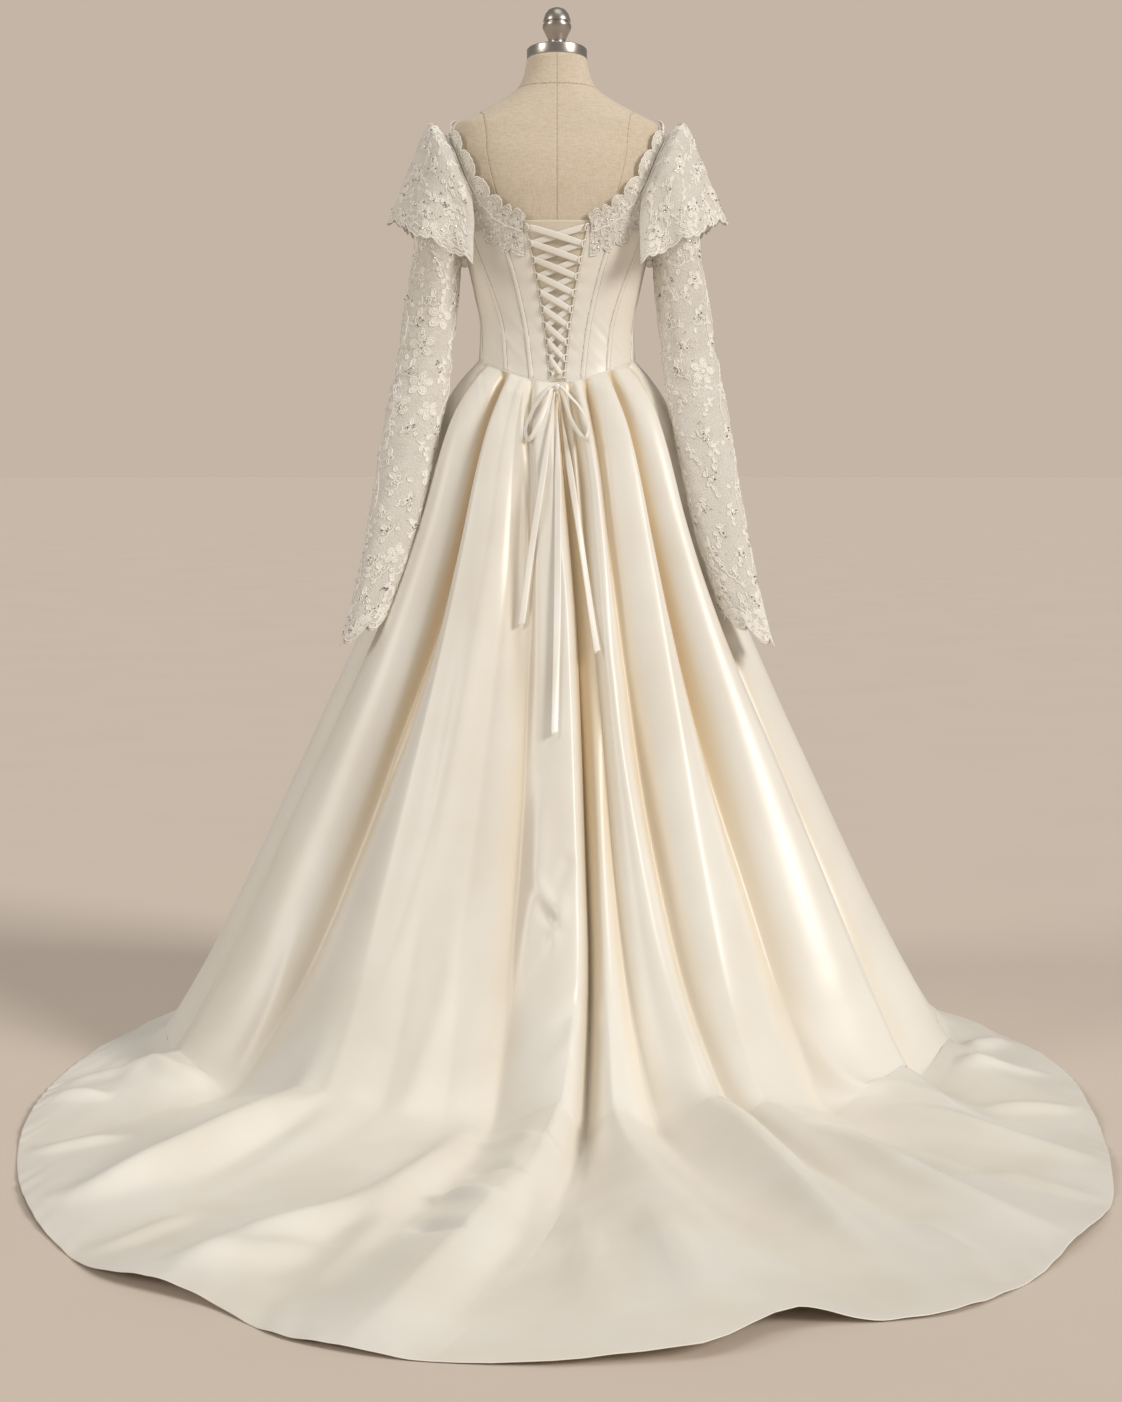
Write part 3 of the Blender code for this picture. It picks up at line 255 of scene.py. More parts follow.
# The flounces over the sleeve heads
FLOUNCE_COLUMNS = ("share", "centre_x", "reach_x", "reach_y", "centre_z", "rise_z")
FLOUNCE_RINGS = (
    (0.00, 0.137, 0.0400, 0.077, 1.350, 0.112),
    (0.20, 0.135, 0.0670, 0.094, 1.325, 0.139),
    (0.50, 0.138, 0.0870, 0.104, 1.295, 0.114),
    (0.78, 0.140, 0.1060, 0.118, 1.268, 0.086),
    (1.00, 0.142, 0.1200, 0.126, 1.250, 0.065),
)
FLOUNCE_REACH = 96.0
FLOUNCE_SEAT_SPAN = 26.0
FLOUNCE_SEAT_SHARE = 0.2
FLOUNCE_SEAT_LAYER = 7.6 * MM
FLOUNCE_WAVES = 7
FLOUNCE_WAVE = 7 * MM

# The skirt's rings: way down, then radius and height at the back, the side and the front
SKIRT_RINGS = (
    (0.06, 0.163, 0.960, 0.172, 1.020, 0.128, 1.010),
    (0.15, 0.233, 0.775, 0.218, 0.865, 0.158, 0.910),
    (0.27, 0.323, 0.535, 0.325, 0.600, 0.203, 0.770),
    (0.39, 0.420, 0.300, 0.436, 0.345, 0.250, 0.630),
    (0.49, 0.525, 0.118, 0.545, 0.130, 0.292, 0.500),
    (0.57, 0.655, 0.010, 0.625, 0.008, 0.325, 0.380),
)
FLOOR_RINGS = (
    (0.70, 0.30, 0.240),
    (0.85, 0.65, 0.105),
    (1.00, 1.00, 0.005),
)

# The hem's outline on the floor: azimuth, then its reach on the left and on the right
HEM_OUTLINE = (
    (0.0, 1.484, 1.484),
    (6.0, 1.474, 1.470),
    (11.0, 1.440, 1.392),
    (17.0, 1.352, 1.398),
    (23.0, 1.315, 1.348),
    (30.0, 1.225, 1.250),
    (37.0, 1.128, 1.165),
    (44.0, 1.038, 1.062),
    (52.0, 0.950, 0.968),
    (60.0, 0.876, 0.893),
    (70.0, 0.806, 0.834),
    (80.0, 0.746, 0.778),
    (90.0, 0.704, 0.716),
    (100.0, 0.682, 0.686),
    (112.0, 0.642, 0.642),
    (135.0, 0.545, 0.545),
    (160.0, 0.450, 0.450),
    (180.0, 0.420, 0.420),
)

# Every fold line: its azimuths and its rises in mm at six places, and how crisp it is
FOLD_PLACES = (0.0, 0.20, 0.40, 0.59, 0.80, 1.0)
FOLDS = (
    ("front_trough_l", (-164, -164, -164, -164, -164, -164), (0, 0, 0, 0, 0, 0), 0.0),
    ("front_fold_l", (-150, -149, -148, -147, -146, -146), (3, 12, 18, 22, 24, 24), 0.2),
    ("side_front_trough_l", (-134, -133, -132, -131, -130, -130), (0, 0, 0, 0, 0, 0), 0.0),
    ("side_front_fold_l", (-119, -117, -115, -114, -113, -113), (3, 12, 18, 15, 10, 8), 0.2),
    ("side_trough_l", (-103, -102, -101, -100, -99, -98), (0, -2, 0, 0, 0, 0), 0.0),
    ("side_fold_l", (-85, -87, -87, -85, -84, -82), (3, 8, 18, 16, 8, 3), 0.2),
    ("pleat_trough_l3", (-67, -74, -76, -75, -72, -69), (0, -8, -4, 0, 0, 0), 0.2),
    ("pleat_ridge_l3", (-60, -54, -63, -63, -61, -58), (5, 20, 28, 30, 12, 4), 0.3),
    ("pleat_trough_l2", (-44, -40, -47, -50, -48, -46), (0, -4, -7, -3, 0, 0), 0.4),
    ("pleat_ridge_l2", (-38, -33.5, -33, -30, -32, -34), (6, 19, 28, 33, 14, 5), 0.6),
    ("train_trough_l", (-30, -25, -25, -22, -25, -27), (4, 15, 21, 18, 0, 0), 0.0),
    ("train_fold_l", (-25, -17, -17, -14, -17, -20), (1, 9, 14, 10, 12, 16), 0.3),
    ("pleat_trough_l1", (-21.5, -8, -8, -8, -12, -14), (0, 3, 6, 5, 0, 0), 0.2),
    ("centre_ridge", (-7, 3.5, 4, 0, -5, -9), (5, 14, 25, 42, 34, 7), 0.4),
    ("centre_trough", (1, 7.2, 6.5, 3, -1, -5), (-1, -7, -9, -5, 0, 0), 0.3),
    ("train_roll_r", (6, 10, 9, 7, 9, 11), (1, -2, 11, 32, 30, 20), 0.2),
    ("train_trough_r", (10, 12.5, 12, 13, 14, 15), (2, -1, 0, 2, 0, 2), 0.0),
    ("pleat_ridge_r1", (17, 15.5, 17, 20.5, 19.5, 19), (5, 10, 21, 36, 20, 4), 0.5),
    ("pleat_trough_r1", (24, 20.5, 21.5, 23.5, 24, 24), (0, 0, 1, 7, 0, 0), 0.2),
    ("pleat_ridge_r2", (39, 32.5, 29, 27, 29, 30), (6, 20, 26, 25, 16, 8), 0.6),
    ("pleat_trough_r2", (46, 40, 41, 38, 36, 37), (0, -5, -7, -4, 0, 0), 0.4),
    ("pleat_ridge_r3", (61, 51, 56, 52, 43.5, 44), (5, 20, 29, 32, 15, 6), 0.5),
    ("pleat_trough_r3", (68, 61, 62, 58, 52, 50), (0, -5, -5, -2, 0, 0), 0.3),
    ("side_fold_r", (77, 79, 77, 73, 63, 58), (2, 6, 17, 22, 13, 6), 0.2),
    ("side_trough_r", (86, 90, 89, 85, 76, 72), (0, -2, 0, 0, 0, 0), 0.0),
    ("side_front_fold_r", (97, 103, 101, 99, 96, 94), (3, 10, 18, 14, 7, 4), 0.2),
    ("front_trough_r", (112, 115, 114, 113, 111, 110), (0, 0, 0, 0, 0, 0), 0.0),
    ("front_fold_r", (127, 129, 129, 129, 129, 129), (3, 12, 19, 23, 22, 18), 0.2),
    ("centre_front_trough_r", (147, 147, 146, 146, 146, 146), (0, 0, 0, 0, 0, 0), 0.0),
    ("centre_front_fold", (175, 173, 170, 168, 168, 168), (2, 9, 14, 17, 18, 18), 0.2),
)
FOLD_COLUMNS = ("name", "azimuths", "rises", "crisp")
# How far down the pleats take to open, from the waist seam
PLEAT_START = 0.02
# Where the cloth stops hanging, how far that fades, and how much of the puffed wave it has
HANGING_ENDS, HANGING_FADE, PUFFED_SHARE = 0.62, 0.16, 0.85
# The power and the rounding that give full ridges and narrow troughs
TROUGH_SHARPNESS = 0.78
TROUGH_ROUNDING = 0.07
# The folds' depth at places on the way down
FOLD_DEPTHS = ((0.0, 1.7), (0.08, 1.75), (0.35, 1.5), (0.55, 1.3), (0.75, 1.25), (1.0, 1.15))
# How much fuller a crease is than its table says, and fuller and wider where it lies
CREASE_FULLER = 1.35
LYING_FULLER = 0.9
LYING_WIDER = 0.4
# The degrees to each side that a fold's hollow is measured against, and the depth of a full one: they set
# where shade is painted into the folds
FOLD_SHADE_REACHES = (-7.0, -3.5, 3.5, 7.0)
FOLD_SHADE_FULL = 15 * MM
# The skirt's panels: solid, first line, last line, columns and rows of the grid
SKIRT_PANELS = (
    ("skirt_front", "front_trough_r", "side_front_trough_l", 124, 176),
    ("skirt_side_l", "side_front_trough_l", "pleat_trough_l3", 82, 186),
    ("skirt_back_l", "pleat_trough_l3", "centre_trough", 172, 286),
    ("skirt_back_r", "centre_trough", "side_trough_r", 180, 286),
    ("skirt_side_r", "side_trough_r", "front_trough_r", 50, 186),
)

# Creases, listed one by one: height and half width in mm, then azimuth and way down along each
CREASES = (
    (-9, 7, ((-66, -0.01), (-66, 0.03), (-69, 0.09), (-74, 0.17), (-76, 0.26))),
    (-11, 7, ((-44, -0.01), (-42, 0.03), (-41, 0.10), (-42, 0.20), (-46, 0.32), (-49, 0.42))),
    (-9, 6, ((-21.5, -0.01), (-17, 0.04), (-11, 0.10), (-8.5, 0.20))),
    (-8, 6, ((10, -0.01), (11.5, 0.04), (12.5, 0.10), (12.5, 0.18))),
    (-10, 6, ((24, -0.01), (22.5, 0.04), (21, 0.12), (20.5, 0.22))),
    (-11, 7, ((46, -0.01), (43, 0.04), (40.5, 0.12), (40, 0.24), (41, 0.38))),
    (-9, 7, ((67, -0.01), (64, 0.05), (61, 0.14), (61, 0.24))),
    (-9, 11, ((2.5, 0.01), (5, 0.08), (7.2, 0.19), (6.5, 0.34), (3.5, 0.55), (-1, 0.80))),
    (-7, 8, ((-86, 0.0), (-96, 0.10), (-101, 0.25))),
    (-7, 8, ((86, 0.0), (90, 0.12), (90, 0.28))),
    (-7, 9, ((-108, 0.0), (-104, 0.12), (-101, 0.28))),
    (-7, 9, ((112, 0.0), (114, 0.12), (114, 0.30))),
    (-7, 9, ((-134, 0.0), (-133, 0.14), (-132, 0.32))),
    (-7, 9, ((147, 0.0), (147, 0.14), (146, 0.32))),
    (-7, 9, ((-164, 0.0), (-164, 0.14), (-164, 0.32))),
    (7, 16, ((-22, 0.01), (-12, 0.09), (-9, 0.13), (-6, 0.24), (-6, 0.32))),
    (-5, 13, ((-17, 0.04), (-16, 0.12), (-13, 0.20), (-11, 0.27))),
    (5, 15, ((21, 0.04), (21, 0.10), (19, 0.16), (18, 0.22))),
    (-4, 12, ((14, 0.05), (13, 0.12), (11, 0.20))),
    (6, 18, ((-25, 0.12), (-24.5, 0.22), (-25, 0.32), (-27, 0.42), (-30, 0.49))),
    (5, 16, ((-4, 0.30), (-4, 0.36), (-6, 0.42), (-9, 0.49))),
    (4, 18, ((-18, 0.38), (-18, 0.46), (-19, 0.52), (-20, 0.57))),
    (-4, 16, ((18, 0.24), (20, 0.31), (22, 0.39), (24, 0.46))),
    (4, 18, ((-52, 0.42), (-51, 0.50), (-52, 0.57))),
    (6, 12, ((58, 0.20), (59, 0.30), (60, 0.39), (59, 0.46), (55, 0.53))),
    (-5, 12, ((62, 0.20), (63, 0.30), (64, 0.40), (63, 0.48))),
    (8, 20, ((-35, 0.50), (-34, 0.62), (-33.5, 0.75), (-33, 0.88), (-34, 0.97))),
    (7, 18, ((-31, 0.55), (-32, 0.70), (-33, 0.85), (-35, 0.99))),
    (-4, 16, ((-29, 0.58), (-29, 0.72), (-29, 0.86))),
    (9, 22, ((-11, 0.64), (-14, 0.78), (-18, 0.89), (-20, 0.98))),
    (5, 20, ((-14, 0.85), (-17, 0.92), (-22, 0.96))),
    (6, 16, ((-51, 0.54), (-56, 0.60), (-63, 0.70), (-66, 0.86), (-66, 0.98))),
    (8, 20, ((-10, 0.55), (-11, 0.66), (-12, 0.81), (-13, 0.94))),
    (-6, 16, ((0, 0.57), (-2, 0.70), (-3, 0.84), (-5, 0.95))),
    (8, 16, ((18, 0.52), (19, 0.63), (18.5, 0.78), (18, 0.93))),
    (7, 18, ((23, 0.54), (29, 0.66), (28.5, 0.80), (29, 0.90), (30, 0.99))),
    (-4, 14, ((26, 0.60), (32, 0.72), (32, 0.86))),
    (7, 18, ((40, 0.57), (42, 0.70), (42.5, 0.84), (44, 0.98))),
    (5, 15, ((39, 0.46), (43, 0.54), (47, 0.61), (46, 0.77), (48, 0.95))),
    (5, 14, ((6, 0.76), (7, 0.88), (8, 0.99))),
    (4, 12, ((1.5, 0.72), (1.8, 0.84), (1.6, 0.97))),
    (4, 9, ((0, 0.405), (-2, 0.392), (-4.5, 0.372))),
    (-4, 9, ((1.0, 0.420), (-1.0, 0.408), (-3.5, 0.392))),
    (4, 9, ((2, 0.388), (0, 0.412), (-1.2, 0.436))),
    (-3, 9, ((3, 0.360), (1.5, 0.372), (-0.5, 0.388))),
    (3, 12, ((4, 0.48), (1.5, 0.505), (-2, 0.52))),
    (-3, 12, ((5, 0.455), (2.5, 0.475), (-1, 0.492))),
    (4, 11, ((-6, 0.60), (-3, 0.625), (0.5, 0.64))),
    (-4, 11, ((-7.5, 0.66), (-5, 0.68), (-2, 0.70))),
    (5, 12, ((-9, 0.72), (-6.5, 0.745), (-3.5, 0.765))),
    (-4, 11, ((-9.5, 0.79), (-7.5, 0.81), (-5, 0.825))),
    (5, 14, ((-56, 0.80), (-59, 0.90), (-61, 0.99))),
    (4, 13, ((-44, 0.80), (-45, 0.90), (-46, 0.99))),
    (4, 13, ((-25, 0.84), (-25.5, 0.92), (-26.5, 0.99))),
    (4, 13, ((52, 0.72), (55, 0.86), (57, 0.98))),
    (4, 13, ((36, 0.82), (36.5, 0.90), (37, 0.99))),
    (4, 13, ((24, 0.84), (23.5, 0.92), (23, 0.99))),
    (5, 15, ((66, 0.62), (68, 0.76), (70, 0.96))),
    (5, 15, ((80, 0.64), (83, 0.78), (86, 0.96))),
    (6, 18, ((-96, 0.20), (-95, 0.34), (-93, 0.50), (-92, 0.62))),
    (5, 18, ((-124, 0.12), (-122, 0.28), (-121, 0.46))),
    (-4, 16, ((-110, 0.18), (-108, 0.34), (-106, 0.52))),
    (6, 18, ((106, 0.18), (107, 0.34), (106, 0.52), (104, 0.66))),
    (5, 18, ((136, 0.14), (137, 0.32), (138, 0.52))),
    (-4, 16, ((121, 0.20), (121, 0.38), (121, 0.58))),
    (5, 18, ((-175, 0.14), (-176, 0.34), (-176, 0.56))),
    (4, 18, ((159, 0.16), (158, 0.36), (157, 0.58))),
)

# What the stage and the camera need: the view from behind, a little above the waist
STUDIO_LIGHTS = (
    ("left_softbox", (-1.0, -0.50, 0.55), 0.74, 22.0, "#FFFCF7"),
    ("right_softbox", (0.95, -0.62, 0.60), 1.90, 20.0, "#FFFCF7"),
    ("top_softbox", (0.1, -0.10, 1.0), 0.45, 40.0, "#FFFDFA"),
)
CAMERA_PLACE = (0.0064, -4.0, 0.952)
CAMERA_TILT = 84.267
CAMERA_LENS = 63.87


def column(rows, names, name):
    """One named column of a table as an array."""
    place = names.index(name)
    return np.array([row[place] for row in rows], float)


def through(position, knots, values):
    """A smooth curve through values at knots that never overshoots them.

    Cubic pieces whose slope at a knot is the harmonic mean of the slopes beside it.
    """
    position = np.asarray(position, float)
    knots = np.asarray(knots, float)
    values = np.broadcast_to(values, position.shape + knots.shape)
    step = np.diff(knots)
    slope = np.diff(values, axis=-1) / step
    product = slope[..., 1:] * slope[..., :-1]
    total = slope[..., 1:] + slope[..., :-1]
    middle = np.where(product > 0, 2 * product / np.where(product > 0, total, 1.0), 0.0)
    rate = np.concatenate([slope[..., :1], middle, slope[..., -1:]], axis=-1)
    index = np.clip(np.searchsorted(knots, position, side="right") - 1, 0, len(knots) - 2)
    share = np.clip((position - knots[index]) / step[index], 0.0, 1.0)

    def pick(table, shift):
        return np.take_along_axis(table, (index + shift)[..., None], axis=-1)[..., 0]

    span = step[index]
    square = share * share
    cube = square * share
    return (
        pick(values, 0) * (2 * cube - 3 * square + 1)
        + pick(rate, 0) * span * (cube - 2 * square + share)
        + pick(values, 1) * (3 * square - 2 * cube)
        + pick(rate, 1) * span * (cube - square)
    )


def unit(vectors):
    """The vectors at length one."""
    return vectors / np.maximum(np.linalg.norm(vectors, axis=-1, keepdims=True), 1e-12)


def polar(azimuth, radius, height):
    """Points at a radius and height, at an azimuth from the centre back."""
    angle = np.radians(azimuth)
    return np.stack([radius * np.sin(angle), -radius * np.cos(angle), height + 0 * angle], -1)


def facing(surface, one, other, step_one, step_other, low=0.0, high=1.0):
    """Outward normals of a surface: its slope down crossed with its slope across."""
    along = surface(one + step_one, other) - surface(one - step_one, other)
    above = np.maximum(other - step_other, low)
    below = np.minimum(other + step_other, high)
    down = surface(one, below) - surface(one, above)
    return unit(np.cross(down, along))


def waves(position, seed, count, low, high):
    """Uneven waves between -1 and 1: a sum of sines whose pitches and phases vary."""
    random = np.random.default_rng(seed)
    pitches = random.uniform(low, high, count)
    phases = random.uniform(0, 2 * math.pi, count)
    sizes = random.uniform(0.5, 1.0, count)
    total = sum(s * np.sin(position * p + h) for s, p, h in zip(sizes, pitches, phases))
    return total / sizes.sum()


def form_radius(azimuth, height):
    """How far the form is from the axis: a squared-off ellipse at each height, with a bust."""
    heights = column(FORM_RINGS, FORM_COLUMNS, "height")
    azimuth, height = np.broadcast_arrays(np.asarray(azimuth, float), height)
    wide, front, back = (
        through(height, heights, column(FORM_RINGS, FORM_COLUMNS, name))
        for name in ("half_width", "front", "back")
    )
    angle = np.radians(azimuth)
    across = np.abs(np.sin(angle)) / wide
    deep = np.abs(np.cos(angle)) / np.where(np.cos(angle) > 0, back, front)
    radius = (across**FORM_SQUARENESS + deep**FORM_SQUARENESS) ** (-1 / FORM_SQUARENESS)
    from_front = 180 - np.abs((azimuth + 180) % 360 - 180)
    beside = np.exp(-(((from_front - BUST_AZIMUTH) / BUST_SPREAD[0]) ** 2))
    level = np.exp(-(((height - BUST_HEIGHT) / BUST_SPREAD[1]) ** 2))
    return radius + BUST_RISE * beside * level


def waist_height(azimuth):
    """The waist seam, which dips to a point at the centre back and a little in front."""
    cosine = np.cos(np.radians(azimuth))
    dip = np.where(cosine > 0, WAIST_SIDE - WAIST_BACK, WAIST_SIDE - WAIST_FRONT)
    return WAIST_SIDE - dip * cosine**2


def bodice_top(azimuth):
    """The bodice's upper edge, the same on both sides."""
    from_back = np.abs((np.asarray(azimuth, float) + 180) % 360 - 180)
    table = np.array(BODICE_TOP)
    return through(from_back, table[:, 0], table[:, 1])


def seam_azimuth(name, height):
    """The azimuth of a bodice seam at a height."""
    return through(height, SEAM_HEIGHTS[::-1], np.array(BODICE_SEAMS[name][::-1], float))


def on_form(azimuth, height, layer):
    """A point over the form, at a layer's distance from it."""
    return polar(azimuth, form_radius(azimuth, height) + layer, height)


def hem_radius(azimuth):
    """The hem's distance from the axis."""
    signed = (np.asarray(azimuth, float) + 180) % 360 - 180
    table = np.array(HEM_OUTLINE)
    left = through(np.abs(signed), table[:, 0], table[:, 1])
    right = through(np.abs(signed), table[:, 0], table[:, 2])
    return np.where(signed < 0, left, right)


def plain_skirt(azimuth, down):
    """The skirt without its folds, from the waist seam at 0 to the hem at 1."""
    azimuth, down = np.broadcast_arrays(np.asarray(azimuth, float), down)
    cosine = np.cos(np.radians(azimuth))
    backward = cosine > 0
    share = cosine**2
    radii = [form_radius(azimuth, waist_height(azimuth)) + BODICE_LAYER[1]]
    heights = [waist_height(azimuth) - WAIST_GAP / 2]
    for _, back_r, back_z, side_r, side_z, front_r, front_z in SKIRT_RINGS:
        radii.append(np.where(backward, back_r, front_r) * share + side_r * (1 - share))
        heights.append(np.where(backward, back_z, front_z) * share + side_z * (1 - share))
    toe = radii[-1]
    for _, outward, front_z in FLOOR_RINGS:
        radii.append(toe + outward * (hem_radius(azimuth) - toe))
        flat = SKIRT_LIFT * np.ones_like(share)
        heights.append(np.where(backward, flat, flat + (front_z - flat) * share))
    places = [0.0]
    places += [row[0] for row in SKIRT_RINGS]
    places += [row[0] for row in FLOOR_RINGS]
    radius = through(down, places, np.stack(radii, -1))
    height = through(down, places, np.stack(heights, -1))
    return polar(azimuth, radius, height)


def fold_lines(down):
    """The azimuth and the rise of every fold line, at a way down the skirt."""
    down = np.asarray(down, float)[..., None]
    azimuths = np.array([row[1] for row in FOLDS], float)
    rises = np.array([row[2] for row in FOLDS], float) * MM
    spread = np.broadcast_to(down, down.shape[:-1] + (len(FOLDS),))
    return through(spread, FOLD_PLACES, azimuths), through(spread, FOLD_PLACES, rises)


def fold_rise(azimuth, down, depth):
    """How far the folds lift the cloth.

    Between two lines the rise follows half a cosine wave; towards a crisp line it turns
    into a power of the way across, which leaves an edge there. Where the cloth hangs, the
    wave is a sine raised to a low power, so that ridges are full and troughs are narrow.
    """
    azimuth, down = np.asarray(azimuth, float), np.asarray(down, float)
    shape = np.broadcast_shapes(azimuth.shape, down.shape)
    lines, rises = fold_lines(down)
    lines = np.concatenate([lines, lines[..., :1] + 360], -1)
    rises = np.concatenate([rises, rises[..., :1]], -1)
    lines = np.broadcast_to(lines, shape + lines.shape[-1:])
    rises = np.broadcast_to(rises, shape + rises.shape[-1:])
    crisp = column(FOLDS, FOLD_COLUMNS, "crisp")
    crisp = np.concatenate([crisp, crisp[:1]])
    round_once = lines[..., 0] + (azimuth - lines[..., 0]) % 360
    index = np.clip((lines[..., :-1] <= round_once[..., None]).sum(-1) - 1, 0, len(FOLDS) - 1)

    def pick(table, shift):
        return np.take_along_axis(table, (index + shift)[..., None], axis=-1)[..., 0]

    before, after = pick(lines, 0), pick(lines, 1)
    share = np.clip((round_once - before) / (after - before), 0.0, 1.0)
    first, second = pick(rises, 0), pick(rises, 1)
    wave = (1 - np.cos(np.pi * share)) / 2
    leaving = 1 - (1 - share) ** 1.9
    arriving = share**1.9
    wave = wave + crisp[index] * (leaving - wave) * (1 - share)
    wave = wave + crisp[index + 1] * (arriving - wave) * share
    from_trough = np.where(second > first, share, 1 - share)
    rounded = np.sqrt(from_trough**2 + TROUGH_ROUNDING**2) - TROUGH_ROUNDING
    rounded = np.clip(rounded / (math.sqrt(1 + TROUGH_ROUNDING**2) - TROUGH_ROUNDING), 0.0, 1.0)
    puffed = np.sin(np.pi / 2 * rounded) ** TROUGH_SHARPNESS
    puffed = np.where(second > first, puffed, 1 - puffed)
    hanging = np.clip((HANGING_ENDS - down) / HANGING_FADE, 0.0, 1.0) * PUFFED_SHARE
    wave = wave + (puffed - wave) * hanging
    rise = first + (second - first) * wave
    places, factors = np.array(FOLD_DEPTHS).T
    rise = rise * through(np.broadcast_to(down, shape), places, factors) * depth
    return rise * np.sqrt(np.clip(down / PLEAT_START, 0.0, 1.0))


def crease_rise(points):
    """The rise of the listed creases: a bell curve across each one, gone at its ends."""
    flat = points.reshape(-1, 3)
    rise = np.zeros(len(flat))
    for height, half_width, path in CREASES:
        knots = np.linspace(0, 1, len(path))
        way = np.linspace(0, 1, 48)
        azimuths = through(way, knots, np.array([point[0] for point in path], float))
        downs = through(way, knots, np.array([point[1] for point in path], float))
        line = plain_skirt(azimuths, downs)
        lying = float(np.clip((np.mean(downs) - 0.5) / 0.2, 0.0, 1.0))
        height = height * (1 + LYING_FULLER * lying)
        half_width = half_width * (1 + LYING_WIDER * lying)
        reach = 3 * half_width * MM
        near = ((flat > line.min(0) - reach) & (flat < line.max(0) + reach)).all(1)
        if not near.any():
            continue
        step = line[1:] - line[:-1]
        from_start = flat[near, None] - line[None, :-1]
        along = (from_start * step[None]).sum(2) / np.maximum((step**2).sum(1), 1e-12)[None]
        along = np.clip(along, 0.0, 1.0)
        apart = np.linalg.norm(from_start - along[..., None] * step[None], axis=2)
        nearest = apart.argmin(1)
        rows = np.arange(len(apart))
        distance = apart[rows, nearest]
        reached = (nearest + along[rows, nearest]) / (len(way) - 1)
        from_waist = path[0][1] <= 0.01
        ends = np.array([0.0, 0.08 if from_waist else 0.35, 0.6, 1.0])
        full = 1.0 if from_waist else 0.0
        taper = through(reached, ends, np.array([full, 1.0, 0.85, 0.0]))
        rise[near] += CREASE_FULLER * height * MM * taper * np.exp(-((distance / (half_width * MM)) ** 2))
    return rise.reshape(points.shape[:-1])


def pucker_rise(azimuth, down):
    """Small unevenness: soft puffs all over, and short ripples that grow to the hem."""
    arc = np.radians(azimuth) * (0.12 + 1.3 * down)
    length = down * 2.1
    puffs = sum(
        np.sin(arc * across + length * along + phase)
        for across, along, phase in ((21, 4, 0.3), (-17, 7, 1.9), (33, -5, 4.1), (9, 11, 2.7))
    ) / 4
    hem = np.clip((down - 0.90) / 0.10, 0, 1) ** 2
    ripples = waves(arc, 5, 6, 70, 160) * hem
    waist = np.exp(-down / 0.05) * np.clip(down / 0.004, 0, 1)
    gathers = waves(arc, 6, 5, 180, 420) * waist
    return (1.1 * puffs + 1.6 * ripples + 0.5 * gathers) * MM


def skirt_surface(azimuth, down, depth, lift=0.0, fine=False):
    """The skirt's outer face: the plain skirt moved out along its normal by its folds."""
    azimuth = np.asarray(azimuth, float)
    down = np.asarray(down, float)
    plain = plain_skirt(azimuth, down)
    normal = facing(plain_skirt, azimuth, down, 0.4, 0.004)
    rise = fold_rise(azimuth, down, depth) + lift
    if fine:
        started = np.sqrt(np.clip(np.asarray(down) / PLEAT_START, 0.0, 1.0))
        rise = rise + crease_rise(plain) * depth * started + pucker_rise(azimuth, down)
    points = plain + normal * np.broadcast_to(rise, plain.shape[:-1])[..., None]
    points[..., 2] = np.maximum(points[..., 2], SKIRT_LIFT)
    return points


def srgb(code):
    """A linear colour from its sRGB hex code."""
    parts = np.array([int(code[place : place + 2], 16) for place in (1, 3, 5)]) / 255
    linear = np.where(parts <= 0.04045, parts / 12.92, ((parts + 0.055) / 1.055) ** 2.4)
    return (*linear.tolist(), 1.0)


def add_node(tree, kind, inputs=None, **settings):
    """Add a shader node with its settings; inputs are values, or sockets to link."""
    made = tree.nodes.new(kind)
    for name, value in settings.items():
        setattr(made, name, value)
    for name, value in (inputs or {}).items():
        if isinstance(value, bpy.types.NodeSocket):
            tree.links.new(value, made.inputs[name])
        else:
            made.inputs[name].default_value = value
    return made


def new_finish(name, **settings):
    """An empty material with a Principled shader that has these constant inputs."""
    made = bpy.data.materials.new(name)
    made.use_nodes = True
    tree = made.node_tree
    tree.nodes.clear()
    shader = add_node(tree, "ShaderNodeBsdfPrincipled", settings)
    output = add_node(tree, "ShaderNodeOutputMaterial")
    tree.links.new(shader.outputs["BSDF"], output.inputs["Surface"])
    return made, tree, shader


def ramp(tree, factor, stops):
    """A colour ramp with stops of place and colour."""
    made = add_node(tree, "ShaderNodeValToRGB", {"Fac": factor})
    elements = made.color_ramp.elements
    while len(elements) < len(stops):
        elements.new(0.5)
    for element, (place, colour) in zip(elements, stops):
        element.position = place
        element.color = colour
    return made


